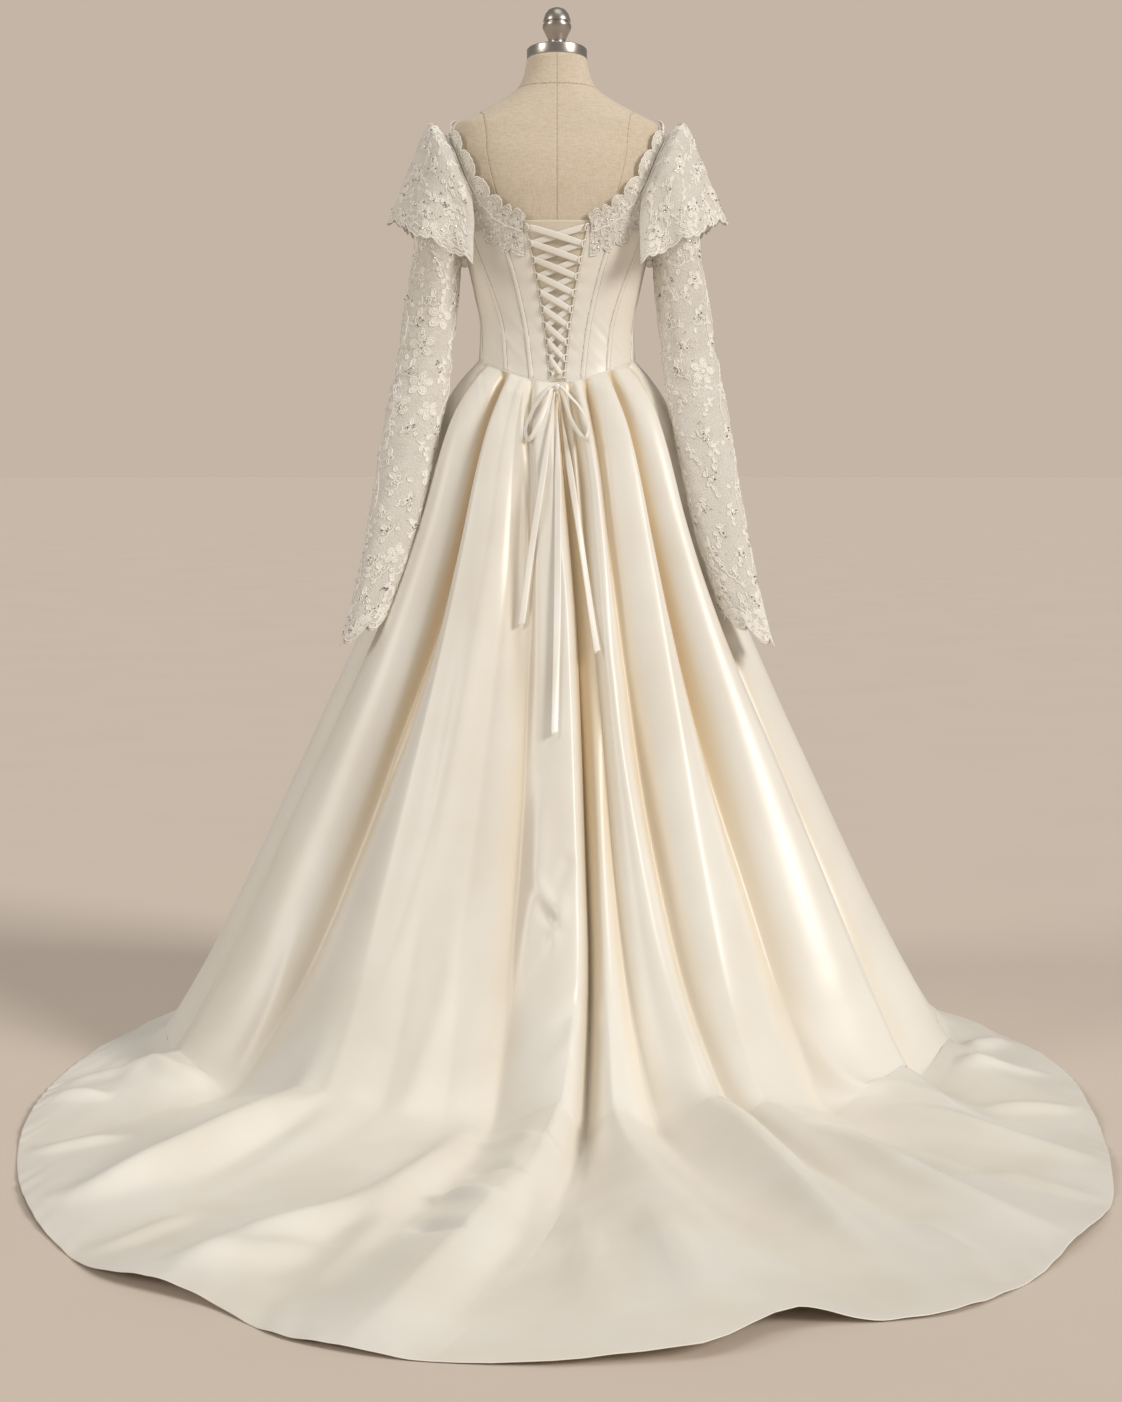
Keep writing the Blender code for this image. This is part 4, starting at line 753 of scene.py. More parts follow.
def satin_finish(name, tint, shade, shade_in_folds=None):
    """Duchess satin: a smooth heavy weave with a soft broad sheen, and warm shade painted into its folds.

    The weft threads are 0.25 mm apart; they are drawn at 1 mm so that they just show.
    Where cloth faces cloth in a fold, the warmer, dimmer light there is painted into the colour:
    the mesh's attribute of fold depth says how deep a point lies, and the fold tone, a painted
    shade, is mixed in there.
    """
    made, tree, shader = new_finish(
        name,
        **{
            "Roughness": 0.32,
            "Specular IOR Level": 0.5,
            "Sheen Weight": 0.08,
            "Sheen Roughness": 0.35,
            "Sheen Tint": srgb("#FFF4E2"),
        },
    )
    place = add_node(tree, "ShaderNodeTexCoord").outputs["Object"]
    clouds = add_node(
        tree, "ShaderNodeTexNoise", {"Vector": place, "Scale": 6.0, "Detail": 3.0}
    )
    tone = ramp(tree, clouds.outputs["Fac"], ((0.3, shade), (0.62, tint)))
    tree.links.new(tone.outputs["Color"], shader.inputs["Base Color"])
    # Painted shade: a warmer, darker tone mixed in by how deep in a fold the point lies
    if shade_in_folds:
        hollow = add_node(tree, "ShaderNodeAttribute", attribute_name="hollow")
        fold_shaded_tone = add_node(
            tree,
            "ShaderNodeMix",
            {0: hollow.outputs["Fac"], 6: tone.outputs["Color"], 7: shade_in_folds},
            data_type="RGBA",
        )
        tree.links.new(fold_shaded_tone.outputs[2], shader.inputs["Base Color"])
    threads = add_node(
        tree, "ShaderNodeTexNoise", {"Vector": place, "Scale": 900.0, "Detail": 1.0}
    )
    slubs = add_node(
        tree, "ShaderNodeTexNoise", {"Vector": place, "Scale": 40.0, "Detail": 3.0}
    )
    relief = add_node(
        tree,
        "ShaderNodeMath",
        {0: threads.outputs["Fac"], 1: slubs.outputs["Fac"]},
        operation="ADD",
    )
    bump = add_node(
        tree,
        "ShaderNodeBump",
        {"Strength": 0.10, "Distance": 0.0006, "Height": relief.outputs[0]},
    )
    tree.links.new(bump.outputs["Normal"], shader.inputs["Normal"])
    return made


def linen_finish(name, tint, shade):
    """Natural linen: a plain weave of uneven threads, matt, with flecks.

    The threads are 0.7 mm apart; they are drawn at 1.6 mm so that they show.
    """
    made, tree, shader = new_finish(
        name, **{"Roughness": 0.86, "Specular IOR Level": 0.25, "Sheen Weight": 0.12}
    )
    place = add_node(tree, "ShaderNodeTexCoord").outputs["Object"]
    upright = add_node(
        tree, "ShaderNodeMapping", {"Vector": place, "Scale": (620.0, 620.0, 90.0)}
    )
    level = add_node(
        tree, "ShaderNodeMapping", {"Vector": place, "Scale": (90.0, 90.0, 620.0)}
    )
    warp = add_node(
        tree, "ShaderNodeTexNoise", {"Vector": upright.outputs[0], "Scale": 1.0, "Detail": 2.0}
    )
    weft = add_node(
        tree, "ShaderNodeTexNoise", {"Vector": level.outputs[0], "Scale": 1.0, "Detail": 2.0}
    )
    weave = add_node(
        tree, "ShaderNodeMath", {0: warp.outputs["Fac"], 1: weft.outputs["Fac"]}, operation="ADD"
    )
    half = add_node(tree, "ShaderNodeMath", {0: weave.outputs[0], 1: 0.5}, operation="MULTIPLY")
    tone = ramp(tree, half.outputs[0], ((0.36, shade), (0.58, tint)))
    tree.links.new(tone.outputs["Color"], shader.inputs["Base Color"])
    bump = add_node(
        tree, "ShaderNodeBump", {"Strength": 0.35, "Distance": 0.0006, "Height": half.outputs[0]}
    )
    tree.links.new(bump.outputs["Normal"], shader.inputs["Normal"])
    return made


def nickel_finish(name, tint):
    """Brushed nickel: fine turned lines round the axis, warm grey, half polished.

    The brushing lines are 0.1 mm apart; they are drawn at 0.6 mm so that they show.
    """
    made, tree, shader = new_finish(
        name, **{"Base Color": tint, "Metallic": 1.0, "Roughness": 0.3}
    )
    place = add_node(tree, "ShaderNodeTexCoord").outputs["Object"]
    stretched = add_node(
        tree, "ShaderNodeMapping", {"Vector": place, "Scale": (12.0, 12.0, 1500.0)}
    )
    lines = add_node(
        tree,
        "ShaderNodeTexNoise",
        {"Vector": stretched.outputs[0], "Scale": 1.0, "Detail": 2.0},
    )
    rough = add_node(
        tree,
        "ShaderNodeMapRange",
        {"Value": lines.outputs["Fac"], "To Min": 0.2, "To Max": 0.42},
    )
    tree.links.new(rough.outputs[0], shader.inputs["Roughness"])
    bump = add_node(
        tree, "ShaderNodeBump", {"Strength": 0.12, "Distance": 0.0004, "Height": lines.outputs[0]}
    )
    tree.links.new(bump.outputs["Normal"], shader.inputs["Normal"])
    return made


def lace_ground_finish(name, tint, thread):
    """Corded lace ground: a fine hexagonal net with tendrils of thread all over.

    The net's cells are 1.2 mm across, too fine to show one by one, so the gaps are
    drawn 2 mm wide. The tendrils run 6 mm apart.
    """
    made, tree, shader = new_finish(
        name, **{"Roughness": 0.7, "Specular IOR Level": 0.3, "Sheen Weight": 0.1}
    )
    place = add_node(tree, "ShaderNodeUVMap", uv_map="cloth").outputs["UV"]
    net = add_node(
        tree,
        "ShaderNodeTexVoronoi",
        {"Vector": place, "Scale": 520.0, "Randomness": 0.35},
        voronoi_dimensions="2D",
        feature="DISTANCE_TO_EDGE",
    )
    threads = add_node(
        tree,
        "ShaderNodeMapRange",
        {"Value": net.outputs["Distance"], "From Min": 0.06, "From Max": 0.22,
         "To Min": 1.0, "To Max": 0.0},
    )
    sprigs = add_node(
        tree,
        "ShaderNodeTexVoronoi",
        {"Vector": place, "Scale": 170.0, "Randomness": 1.0},
        voronoi_dimensions="2D",
        feature="DISTANCE_TO_EDGE",
    )
    woven = add_node(
        tree,
        "ShaderNodeMapRange",
        {"Value": sprigs.outputs["Distance"], "From Min": 0.02, "From Max": 0.12,
         "To Min": 0.92, "To Max": 0.0},
    )
    tone = ramp(tree, woven.outputs[0], ((0.0, tint), (0.8, thread)))
    tree.links.new(tone.outputs["Color"], shader.inputs["Base Color"])
    net_alpha = add_node(
        tree, "ShaderNodeMapRange", {"Value": threads.outputs[0], "To Min": 0.50, "To Max": 0.95}
    )
    alpha = add_node(
        tree,
        "ShaderNodeMath",
        {0: net_alpha.outputs[0], 1: woven.outputs[0]},
        operation="MAXIMUM",
        use_clamp=True,
    )
    tree.links.new(alpha.outputs[0], shader.inputs["Alpha"])
    bump = add_node(
        tree, "ShaderNodeBump", {"Strength": 0.6, "Distance": 0.001, "Height": woven.outputs[0]}
    )
    tree.links.new(bump.outputs["Normal"], shader.inputs["Normal"])
    return made


def cord_finish(name, tint, shade):
    """Twisted viscose cord: bright matt thread, with a twist about 1 mm long."""
    made, tree, shader = new_finish(
        name, **{"Roughness": 0.5, "Specular IOR Level": 0.4, "Sheen Weight": 0.2}
    )
    place = add_node(tree, "ShaderNodeTexCoord").outputs["Object"]
    twist = add_node(
        tree, "ShaderNodeTexNoise", {"Vector": place, "Scale": 420.0, "Detail": 2.0}
    )
    tone = ramp(tree, twist.outputs["Fac"], ((0.35, shade), (0.6, tint)))
    tree.links.new(tone.outputs["Color"], shader.inputs["Base Color"])
    bump = add_node(
        tree, "ShaderNodeBump", {"Strength": 0.4, "Distance": 0.0008, "Height": twist.outputs[0]}
    )
    tree.links.new(bump.outputs["Normal"], shader.inputs["Normal"])
    return made


def sequin_finish(name, tint):
    """Silvered plastic sequins: thin, bright and a little scuffed."""
    made, tree, shader = new_finish(
        name, **{"Base Color": tint, "Metallic": 1.0, "Roughness": 0.18}
    )
    place = add_node(tree, "ShaderNodeTexCoord").outputs["Object"]
    scuffs = add_node(
        tree, "ShaderNodeTexNoise", {"Vector": place, "Scale": 300.0, "Detail": 2.0}
    )
    rough = add_node(
        tree, "ShaderNodeMapRange", {"Value": scuffs.outputs["Fac"], "To Min": 0.1, "To Max": 0.3}
    )
    tree.links.new(rough.outputs[0], shader.inputs["Roughness"])
    return made


def studio_finish(name, tint):
    """Matt painted studio floor, with the faint mottle of rolled paint."""
    made, tree, shader = new_finish(name, **{"Roughness": 0.9, "Specular IOR Level": 0.1})
    place = add_node(tree, "ShaderNodeTexCoord").outputs["Object"]
    mottle = add_node(
        tree, "ShaderNodeTexNoise", {"Vector": place, "Scale": 2.2, "Detail": 3.0}
    )
    low = tuple(value * 0.975 for value in tint[:3]) + (1.0,)
    tone = ramp(tree, mottle.outputs["Fac"], ((0.3, low), (0.7, tint)))
    tree.links.new(tone.outputs["Color"], shader.inputs["Base Color"])
    return made


def mesh_object(name, points, faces, finish, corners=None):
    """A smooth mesh object from arrays; faces are blocks of rows with equal corner counts.

    corners holds one pair of cloth coordinates for every face corner, in the same order.
    """
    mesh = bpy.data.meshes.new(name)
    blocks = [np.asarray(block, np.int32) for block in faces if len(block)]
    counts = np.concatenate([np.full(len(block), block.shape[1]) for block in blocks])
    starts = np.concatenate([[0], np.cumsum(counts)[:-1]]).astype(np.int32)
    loops = np.concatenate([block.ravel() for block in blocks])
    mesh.vertices.add(len(points))
    mesh.vertices.foreach_set("co", np.asarray(points, np.float32).ravel())
    mesh.loops.add(len(loops))
    mesh.loops.foreach_set("vertex_index", loops)
    mesh.polygons.add(len(counts))
    mesh.polygons.foreach_set("loop_start", starts)
    mesh.update(calc_edges=True)
    if corners is not None:
        layer = mesh.uv_layers.new(name="cloth")
        layer.data.foreach_set("uv", np.asarray(corners, np.float32).ravel())
    mesh.shade_smooth()
    mesh.materials.append(finish)
    made = bpy.data.objects.new(name, mesh)
    bpy.context.scene.collection.objects.link(made)
    return made


def grid_faces(rows, columns, closed=False, flip=False):
    """Four-cornered faces of a grid whose rows run down and columns towards +azimuth."""
    index = np.arange(rows * columns).reshape(rows, columns)
    if closed:
        index = np.concatenate([index, index[:, :1]], 1)
    quads = np.stack([index[:-1, :-1], index[1:, :-1], index[1:, 1:], index[:-1, 1:]], -1)
    quads = quads.reshape(-1, 4)
    return quads[:, ::-1] if flip else quads


def cloth_coordinates(points, closed=False):
    """Metric cloth coordinates: the mean length across to each column, and down to each row."""
    ring = np.concatenate([points, points[:, :1]], 1) if closed else points
    across = np.linalg.norm(np.diff(ring, axis=1), axis=2).mean(0)
    down = np.linalg.norm(np.diff(points, axis=0), axis=2).mean(1)
    u = np.concatenate([[0], np.cumsum(across)])
    v = np.concatenate([[0], np.cumsum(down)])
    return np.stack(np.broadcast_arrays(u[None, :], v[:, None]), -1)


def cloth_object(name, points, finish, closed=False, flip=False):
    """A cloth surface from a grid of points, with metric cloth coordinates."""
    rows, columns = points.shape[:2]
    faces = grid_faces(rows, columns, closed, flip)
    flat = cloth_coordinates(points, closed)
    corner_faces = grid_faces(rows, flat.shape[1], False, flip)
    corners = flat.reshape(-1, 2)[corner_faces.ravel()]
    return mesh_object(name, points.reshape(-1, 3), [faces], finish, corners)


def cut_of(points, closed=False):
    """A cloth grid's flat cut: its widest row, its mean length and its area."""
    ring = np.concatenate([points, points[:, :1]], 1) if closed else points
    across = np.diff(ring, axis=1)
    down = np.diff(ring, axis=0)
    area = np.linalg.norm(np.cross(across[:-1], down[:, :-1]), axis=2).sum()
    width = np.linalg.norm(across, axis=2).sum(1).max()
    length = np.linalg.norm(down, axis=2).sum(0).mean()
    return (float(width), float(length)), float(min(area, width * length))


def dress_up(piece, slot, *nodes):
    """The piece rides with the whole part and stands for its solids, which are hidden; its slot is not used.
    """
    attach(piece, "root")
    if nodes:
        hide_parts(*nodes)
    return piece


def declare(points, closed=False):
    """Work out the cut of a sheet of cloth that shows: its width, length and area.

    The call takes no width under 10 mm, so a narrower casing or ribbon states
    NARROWEST_SHEET. Its area is the true one. Nothing is done with the cut.
    """
    (width, length), area = cut_of(points, closed)
    width = max(width, NARROWEST_SHEET)


def capped_faces(rows, columns):
    """The faces of a closed tube whose rings run down, with a flat face on each end."""
    top = np.arange(columns)[None]
    bottom = ((rows - 1) * columns + np.arange(columns))[None, ::-1]
    return [grid_faces(rows, columns, True), top, bottom]


def turned_points(profile, sides):
    """A turned surface: a profile of heights and radii, carried round the axis.

    The profile's two ends on the axis are left to the flat faces that close it.
    """
    heights = np.array([row[0] for row in profile[1:-1]])
    radii = np.array([row[1] for row in profile[1:-1]])
    turn = np.arange(sides) * 2 * math.pi / sides
    return np.stack(
        [
            radii[:, None] * np.sin(turn),
            -radii[:, None] * np.cos(turn),
            np.broadcast_to(heights[:, None], (len(heights), sides)),
        ],
        -1,
    )


def tube_points(path, radius, sides, up):
    """A tube's rings along a path: circles across it, measured from a fixed direction."""
    ahead = unit(np.gradient(path, axis=0))
    side = unit(np.cross(ahead, up))
    other = np.cross(side, ahead)
    turn = np.arange(sides) * 2 * math.pi / sides
    radius = np.reshape(radius, (-1, 1, 1))
    ring = side[:, None] * np.cos(turn)[None, :, None] + other[:, None] * np.sin(turn)[None, :, None]
    return path[:, None] + ring * radius


def joined(name, grids, finish, closed=True, flip=False):
    """Many grids of the same kind as one mesh."""
    points, faces, start = [], [], 0
    for grid in grids:
        rows, columns = grid.shape[:2]
        faces.append(grid_faces(rows, columns, closed, flip) + start)
        points.append(grid.reshape(-1, 3))
        start += rows * columns
    return mesh_object(name, np.concatenate(points), [np.concatenate(faces)], finish)


def ribbon_points(path, across, normal, width, crown, columns=5):
    """A ribbon's rows along a path: straight across, with its middle a little proud."""
    share = np.linspace(-1, 1, columns)
    side = unit(across)[:, None] * share[None, :, None] * np.reshape(width, (-1, 1, 1)) / 2
    rise = unit(normal)[:, None] * (1 - share**2)[None, :, None] * crown
    return path[:, None] + side + rise


def metric_at(surface, u, v, step_u, step_v):
    """How many metres one unit of each parameter is worth, at the given places."""
    wide = np.linalg.norm(surface(u + step_u, v) - surface(u - step_u, v), axis=-1)
    long = np.linalg.norm(surface(u, v + step_v) - surface(u, v - step_v), axis=-1)
    return wide / (2 * step_u), long / (2 * step_v)


def cord_arrays(surface, u, v, step_u, step_v, width, height, side=1.0, lift=0.0):
    """Raised cords on a surface: a flat edge, a proud middle and a flat edge across.

    u and v hold one stroke a row. The cord's direction across is its own direction
    crossed with the surface's normal.
    """
    middle = surface(u, v)
    along_u = surface(u + step_u, v) - surface(u - step_u, v)
    along_v = surface(u, v + step_v) - surface(u, v - step_v)
    normal = unit(np.cross(along_v, along_u)) * side
    ahead = unit(np.gradient(middle, axis=-2))
    across = unit(np.cross(ahead, normal))
    width = np.broadcast_to(np.asarray(width, float), middle.shape[:-1])[..., None]
    shape = np.array([[-0.5, 0.0], [-0.2, 1.0], [0.2, 1.0], [0.5, 0.0]])
    points = middle[..., None, :] + across[..., None, :] * width[..., None] * shape[:, :1]
    points = points + normal[..., None, :] * (lift + height * shape[:, 1:])
    strokes, rows, columns = points.shape[:3]
    faces = grid_faces(rows, columns, False)
    starts = np.arange(strokes)[:, None, None] * rows * columns
    return points.reshape(-1, 3), (faces[None] + starts).reshape(-1, 4)


def fill_arrays(surface, u, v, step_u, step_v, side=1.0, lift=0.0):
    """Filled loops on a surface: a fan from each closed stroke's middle."""
    def raised(one, other):
        along_u = surface(one + step_u, other) - surface(one - step_u, other)
        along_v = surface(one, other + step_v) - surface(one, other - step_v)
        return surface(one, other) + unit(np.cross(along_v, along_u)) * side * lift

    rim = raised(u[:, :-1], v[:, :-1])
    centre = raised(u[:, :-1].mean(1), v[:, :-1].mean(1))
    loops, count = rim.shape[:2]
    points = np.concatenate([centre[:, None], rim], 1)
    place = np.arange(count)
    fan = np.stack([np.zeros(count, int), 1 + place, 1 + (place + 1) % count], -1)
    faces = fan[None] + np.arange(loops)[:, None, None] * (count + 1)
    return points.reshape(-1, 3), faces.reshape(-1, 3)


def petal_stroke(angle, near, far, half_width, count=9):
    """A petal: an ellipse between two distances from the middle, at an angle."""
    turn = np.linspace(0, 2 * math.pi, count)
    along = (near + far) / 2 - (far - near) / 2 * np.cos(turn)
    beside = half_width * np.sin(turn)
    return np.stack(
        [
            along * math.cos(angle) - beside * math.sin(angle),
            along * math.sin(angle) + beside * math.cos(angle),
        ],
        -1,
    )


def leaf_stroke(foot, angle, length, half_width, count=9):
    """A pointed leaf from its foot: out along one side and back along the other."""
    way = np.linspace(0, 2, count)
    along = 1 - np.abs(1 - way)
    beside = half_width * np.sin(np.pi * along) ** 0.8 * np.where(way < 1, 1, -1)
    x = along * length
    return np.stack(
        [
            foot[0] + x * math.cos(angle) - beside * math.sin(angle),
            foot[1] + x * math.sin(angle) + beside * math.cos(angle),
        ],
        -1,
    )


def curl_stroke(start, end, turns, size, count=9):
    """A curl: a spiral that closes in from one radius to another."""
    way = np.linspace(0, 1, count)
    radius = size * (start + (end - start) * way)
    angle = 2 * math.pi * turns * way
    return np.stack([radius * np.cos(angle), radius * np.sin(angle)], -1)


def flower_motif():
    """A five-petalled flower with a ring in its middle; open strokes come last."""
    loops = [petal_stroke(k * 2 * math.pi / 5, 0.24, 1.0, 0.29) for k in range(5)]
    loops.append(petal_stroke(0.0, -0.15, 0.15, 0.15))
    veins = [petal_stroke(k * 2 * math.pi / 5, 0.34, 0.78, 0.13) for k in range(5)]
    return np.array(loops), np.array(veins)


def spray_motif():
    """A bent stem with leaves on both sides and one at its end."""
    way = np.linspace(0, 1, 9)
    stem = np.stack([way * 2.0 - 1.0, 0.35 * np.sin(way * 2.4)], -1)
    loops = []
    for place, (share, turn) in enumerate(((0.15, 0.9), (0.35, -0.8), (0.55, 0.75), (0.75, -0.7))):
        foot = (share * 2.0 - 1.0, 0.35 * math.sin(share * 2.4))
        loops.append(leaf_stroke(foot, turn, 0.62 - 0.06 * place, 0.15))
    loops.append(leaf_stroke((0.95, 0.24), -0.2, 0.55, 0.16))
    return np.array(loops), np.array([stem])


def scroll_motif():
    """Two curls back to back with a leaf between them."""
    curl = curl_stroke(0.95, 0.12, 1.2, 0.62)
    other = curl * np.array([-1.0, 1.0]) + np.array([-0.1, -0.1])
    loops = [
        leaf_stroke((0.1, -0.2), -1.3, 0.8, 0.17),
        leaf_stroke((0.55, 0.45), 0.8, 0.5, 0.13),
        leaf_stroke((-0.65, 0.4), 2.3, 0.5, 0.13),
    ]
    return np.array(loops), np.array([curl + np.array([0.35, 0.1]), other])


def place_strokes(strokes, surface, centres, turns, sizes, step_u, step_v, limits):
    """Strokes drawn flat, turned and sized, laid round centres in the surface's own units."""
    cosine, sine = np.cos(turns)[:, None, None], np.sin(turns)[:, None, None]
    x = strokes[None, ..., 0] * sizes[:, None, None]
    y = strokes[None, ..., 1] * sizes[:, None, None]
    along, beside = x * cosine - y * sine, x * sine + y * cosine
    wide, long = metric_at(surface, centres[:, 0], centres[:, 1], step_u, step_v)
    u = centres[:, 0, None, None] + along / wide[:, None, None]
    v = centres[:, 1, None, None] + beside / long[:, None, None]
    low_u, high_u, low_v, high_v = limits
    u = np.clip(u, low_u, high_u)
    v = np.clip(v, low_v, high_v)
    count = strokes.shape[-2]
    return u.reshape(-1, count), v.reshape(-1, count)


def lace_motifs(name, surface, groups, steps, limits, finishes, side, extra=()):
    """All the corded motifs of one piece of lace as one mesh.

    groups holds motif, centres, turns, sizes and cord width; extra holds long cords as
    their u, v, width and height.
    """
    points, quads, start = [], [], 0
    fills, triangles, filled_from = [], [], 0
    step_u, step_v = steps
    for motif, centres, turns, sizes, cord in groups:
        loops, lines = motif
        for strokes, filled in ((loops, True), (lines, False)):
            u, v = place_strokes(
                strokes, surface, centres, turns, sizes, step_u, step_v, limits
            )
            if filled:
                made, fans = fill_arrays(surface, u, v, step_u, step_v, side, 0.35 * MM)
                fills.append(made)
                triangles.append(fans + filled_from)
                filled_from += len(made)
            made, faces = cord_arrays(
                surface, u, v, step_u, step_v, cord, 1.0 * MM, side, 0.2 * MM
            )
            points.append(made)
            quads.append(faces + start)
            start += len(made)
    for u, v, width, height in extra:
        made, faces = cord_arrays(surface, u, v, step_u, step_v, width, height, side, 0.2 * MM)
        points.append(made)
        quads.append(faces + start)
        start += len(made)
    quads = np.concatenate(quads)
    triangles = np.concatenate(triangles)
    if side < 0:
        quads = quads[:, ::-1]
        triangles = triangles[:, ::-1]
    corded = mesh_object(name, np.concatenate(points), [quads], finishes[0])
    filled = mesh_object(name + "_filling", np.concatenate(fills), [triangles], finishes[1])
    return corded, filled


def scatter_discs(name, surface, places, steps, radius, finish, side, seed, lift):
    """Cupped six-sided sequins, each one tipped its own way."""
    random = np.random.default_rng(seed)
    u, v = places[:, 0], places[:, 1]
    step_u, step_v = steps
    along_u = surface(u + step_u, v) - surface(u - step_u, v)
    along_v = surface(u, v + step_v) - surface(u, v - step_v)
    normal = unit(np.cross(along_v, along_u)) * side
    tipped = unit(normal + random.normal(0, 0.28, normal.shape))
    one = unit(np.cross(tipped, along_v))
    other = np.cross(tipped, one)
    centre = surface(u, v) + normal * lift
    turn = np.arange(6) * math.pi / 3
    size = radius * random.uniform(0.7, 1.15, (len(u), 1, 1))
    rim = one[:, None] * np.cos(turn)[None, :, None] + other[:, None] * np.sin(turn)[None, :, None]
    rim = centre[:, None] + rim * size + tipped[:, None] * 0.35 * MM
    points = np.concatenate([centre[:, None], rim], 1)
    place = np.arange(6)
    fan = np.stack([np.zeros(6, int), 1 + place, 1 + (place + 1) % 6], -1)
    faces = (fan[None] + np.arange(len(u))[:, None, None] * 7).reshape(-1, 3)
    return mesh_object(name, points.reshape(-1, 3), [faces], finish)


def scatter_beads(name, surface, places, steps, radius, finish, side, lift):
    """Small round beads: three rings and two ends, sat on the lace."""
    u, v = places[:, 0], places[:, 1]
    step_u, step_v = steps
    along_u = surface(u + step_u, v) - surface(u - step_u, v)
    along_v = surface(u, v + step_v) - surface(u, v - step_v)
    normal = unit(np.cross(along_v, along_u)) * side
    centre = surface(u, v) + normal * (lift + radius * 0.7)
    rows, sides = 3, 6
    tilt = np.array([0.55, math.pi / 2, math.pi - 0.55])
    turn = np.arange(sides) * 2 * math.pi / sides
    ball = np.stack(
        [
            np.sin(tilt)[:, None] * np.cos(turn)[None],
            -np.sin(tilt)[:, None] * np.sin(turn)[None],
            np.broadcast_to(np.cos(tilt)[:, None], (rows, sides)),
        ],
        -1,
    ).reshape(-1, 3)
    points = centre[:, None] + ball[None] * radius
    starts = np.arange(len(u))[:, None, None] * rows * sides
    blocks = []
    for block in capped_faces(rows, sides):
        blocks.append((block[None] + starts).reshape(-1, block.shape[1]))
    return mesh_object(name, points.reshape(-1, 3), blocks, finish)


def form_point(azimuth, level, depth):
    """A point under the form's surface, leant forward with the neck."""
    heights = column(FORM_RINGS, FORM_COLUMNS, "height")
    points = polar(azimuth, form_radius(azimuth, level) - depth, level)
    points[..., 2] -= through(level, heights, column(FORM_RINGS, FORM_COLUMNS, "lean")) * points[..., 1]
    points[..., 1] += through(level, heights, column(FORM_RINGS, FORM_COLUMNS, "centre"))
    return points


def make_form(look):
    """The linen-covered form: level rings with grooves along its sewn seams."""
    thread = cord_finish("brown_seam_thread", look["linen_seam"], look["linen_shade"])
    linen = linen_finish("woven_linen", look["linen"], look["linen_shade"])
    heights = column(FORM_RINGS, FORM_COLUMNS, "height")
    extra = NECK_SEAM_HEIGHT + np.array([-2.0, -0.9, 0.0, 0.9, 2.0]) * MM
    levels = np.concatenate([np.linspace(heights[0], heights[-1], 180), extra])
    levels = np.sort(levels)[::-1]
    share = (1 - np.cos(np.linspace(0, math.pi, 18)[:-1])) / 2
    seams = []
    for _, seam_heights, azimuths in FORM_SEAMS:
        seams.append(through(levels, seam_heights[::-1], np.array(azimuths[::-1], float)))
    seams.append(seams[0] + 360)
    azimuth, groove = [], []
    for here, after in zip(seams[:-1], seams[1:]):
        azimuth.append(here[:, None] + (after - here)[:, None] * share)
        groove.append(np.where(np.arange(len(share)) == 0, 1.0, 0.0) + 0 * here[:, None])
    azimuth = np.concatenate(azimuth, 1)
    groove = np.concatenate(groove, 1)
    level = np.broadcast_to(levels[:, None], azimuth.shape)
    neck = np.exp(-(((level - NECK_SEAM_HEIGHT) / (0.7 * MM)) ** 2))
    depth = SEAM_DEPTH * np.maximum(groove, neck) + 0.5 * MM
    points = form_point(azimuth, level, depth)
    faces = capped_faces(*points.shape[:2])
    made = mesh_object("linen_form", points.reshape(-1, 3), faces, linen)
    dress_up(made, "linen_cover", "form_torso")

    shown = np.linspace(1.565, 1.10, 260)
    lines = []
    for _, seam_heights, azimuths in FORM_SEAMS:
        middle = through(shown, seam_heights[::-1], np.array(azimuths[::-1], float))
        half = np.degrees(SEAM_LINE / 2 / form_radius(middle, shown))[:, None]
        spread = middle[:, None] + half * np.array([-1.0, 0.0, 1.0])
        lines.append(form_point(spread, shown[:, None] + 0 * spread, SEAM_DEPTH + 0.05 * MM))
    turn = np.linspace(-180, 180, 181)[None] + np.zeros((3, 1))
    rise = NECK_SEAM_HEIGHT + SEAM_LINE / 2 * np.array([[1.0], [0.0], [-1.0]]) + 0 * turn
    lines.append(form_point(turn, rise, SEAM_DEPTH + 0.05 * MM))
    sewn = joined("linen_form_seams", lines, thread, closed=False)
    dress_up(sewn, "linen_cover")


def make_metalwork(look):
    """The neck cap and the turned finial, leant with the neck, and the stand's new finish."""
    nickel = nickel_finish("brushed_nickel", look["nickel"])
    top = dict(zip(FORM_COLUMNS, FORM_RINGS[-1]))
    lean = math.atan(top["lean"])
    up = np.array([0.0, math.sin(lean), math.cos(lean)])
    back = np.array([0.0, math.cos(lean), -math.sin(lean)])
    seat = np.array([0.0, top["centre"], top["height"]])
    parts = (
        ("nickel_neck_cap", CAP_PROFILE, CAP_SEAT_GAP, "neck_cap"),
        ("nickel_finial", FINIAL_PROFILE, 2 * CAP_SEAT_GAP + CAP_PROFILE[0][0], "finial"),
    )
    for name, profile, lift, node in parts:
        points = turned_points(profile, 72)
        x, y, z = points[..., :1], points[..., 1:2], points[..., 2:]
        points = seat + x * np.array([1.0, 0.0, 0.0]) + y * back + (z + lift) * up
        faces = capped_faces(*points.shape[:2])
        made = mesh_object(name, points.reshape(-1, 3), faces, nickel)
        bevel = made.modifiers.new("edge", "BEVEL")
        bevel.width = 0.0003
        bevel.segments = 2
        bevel.limit_method = "ANGLE"
        bevel.angle_limit = math.radians(40)
        dress_up(made, "brushed_nickel", node)
    for node in ("stand_pole", "stand_base"):
        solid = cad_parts[node]
        solid.data.materials.clear()
        solid.data.materials.append(nickel)


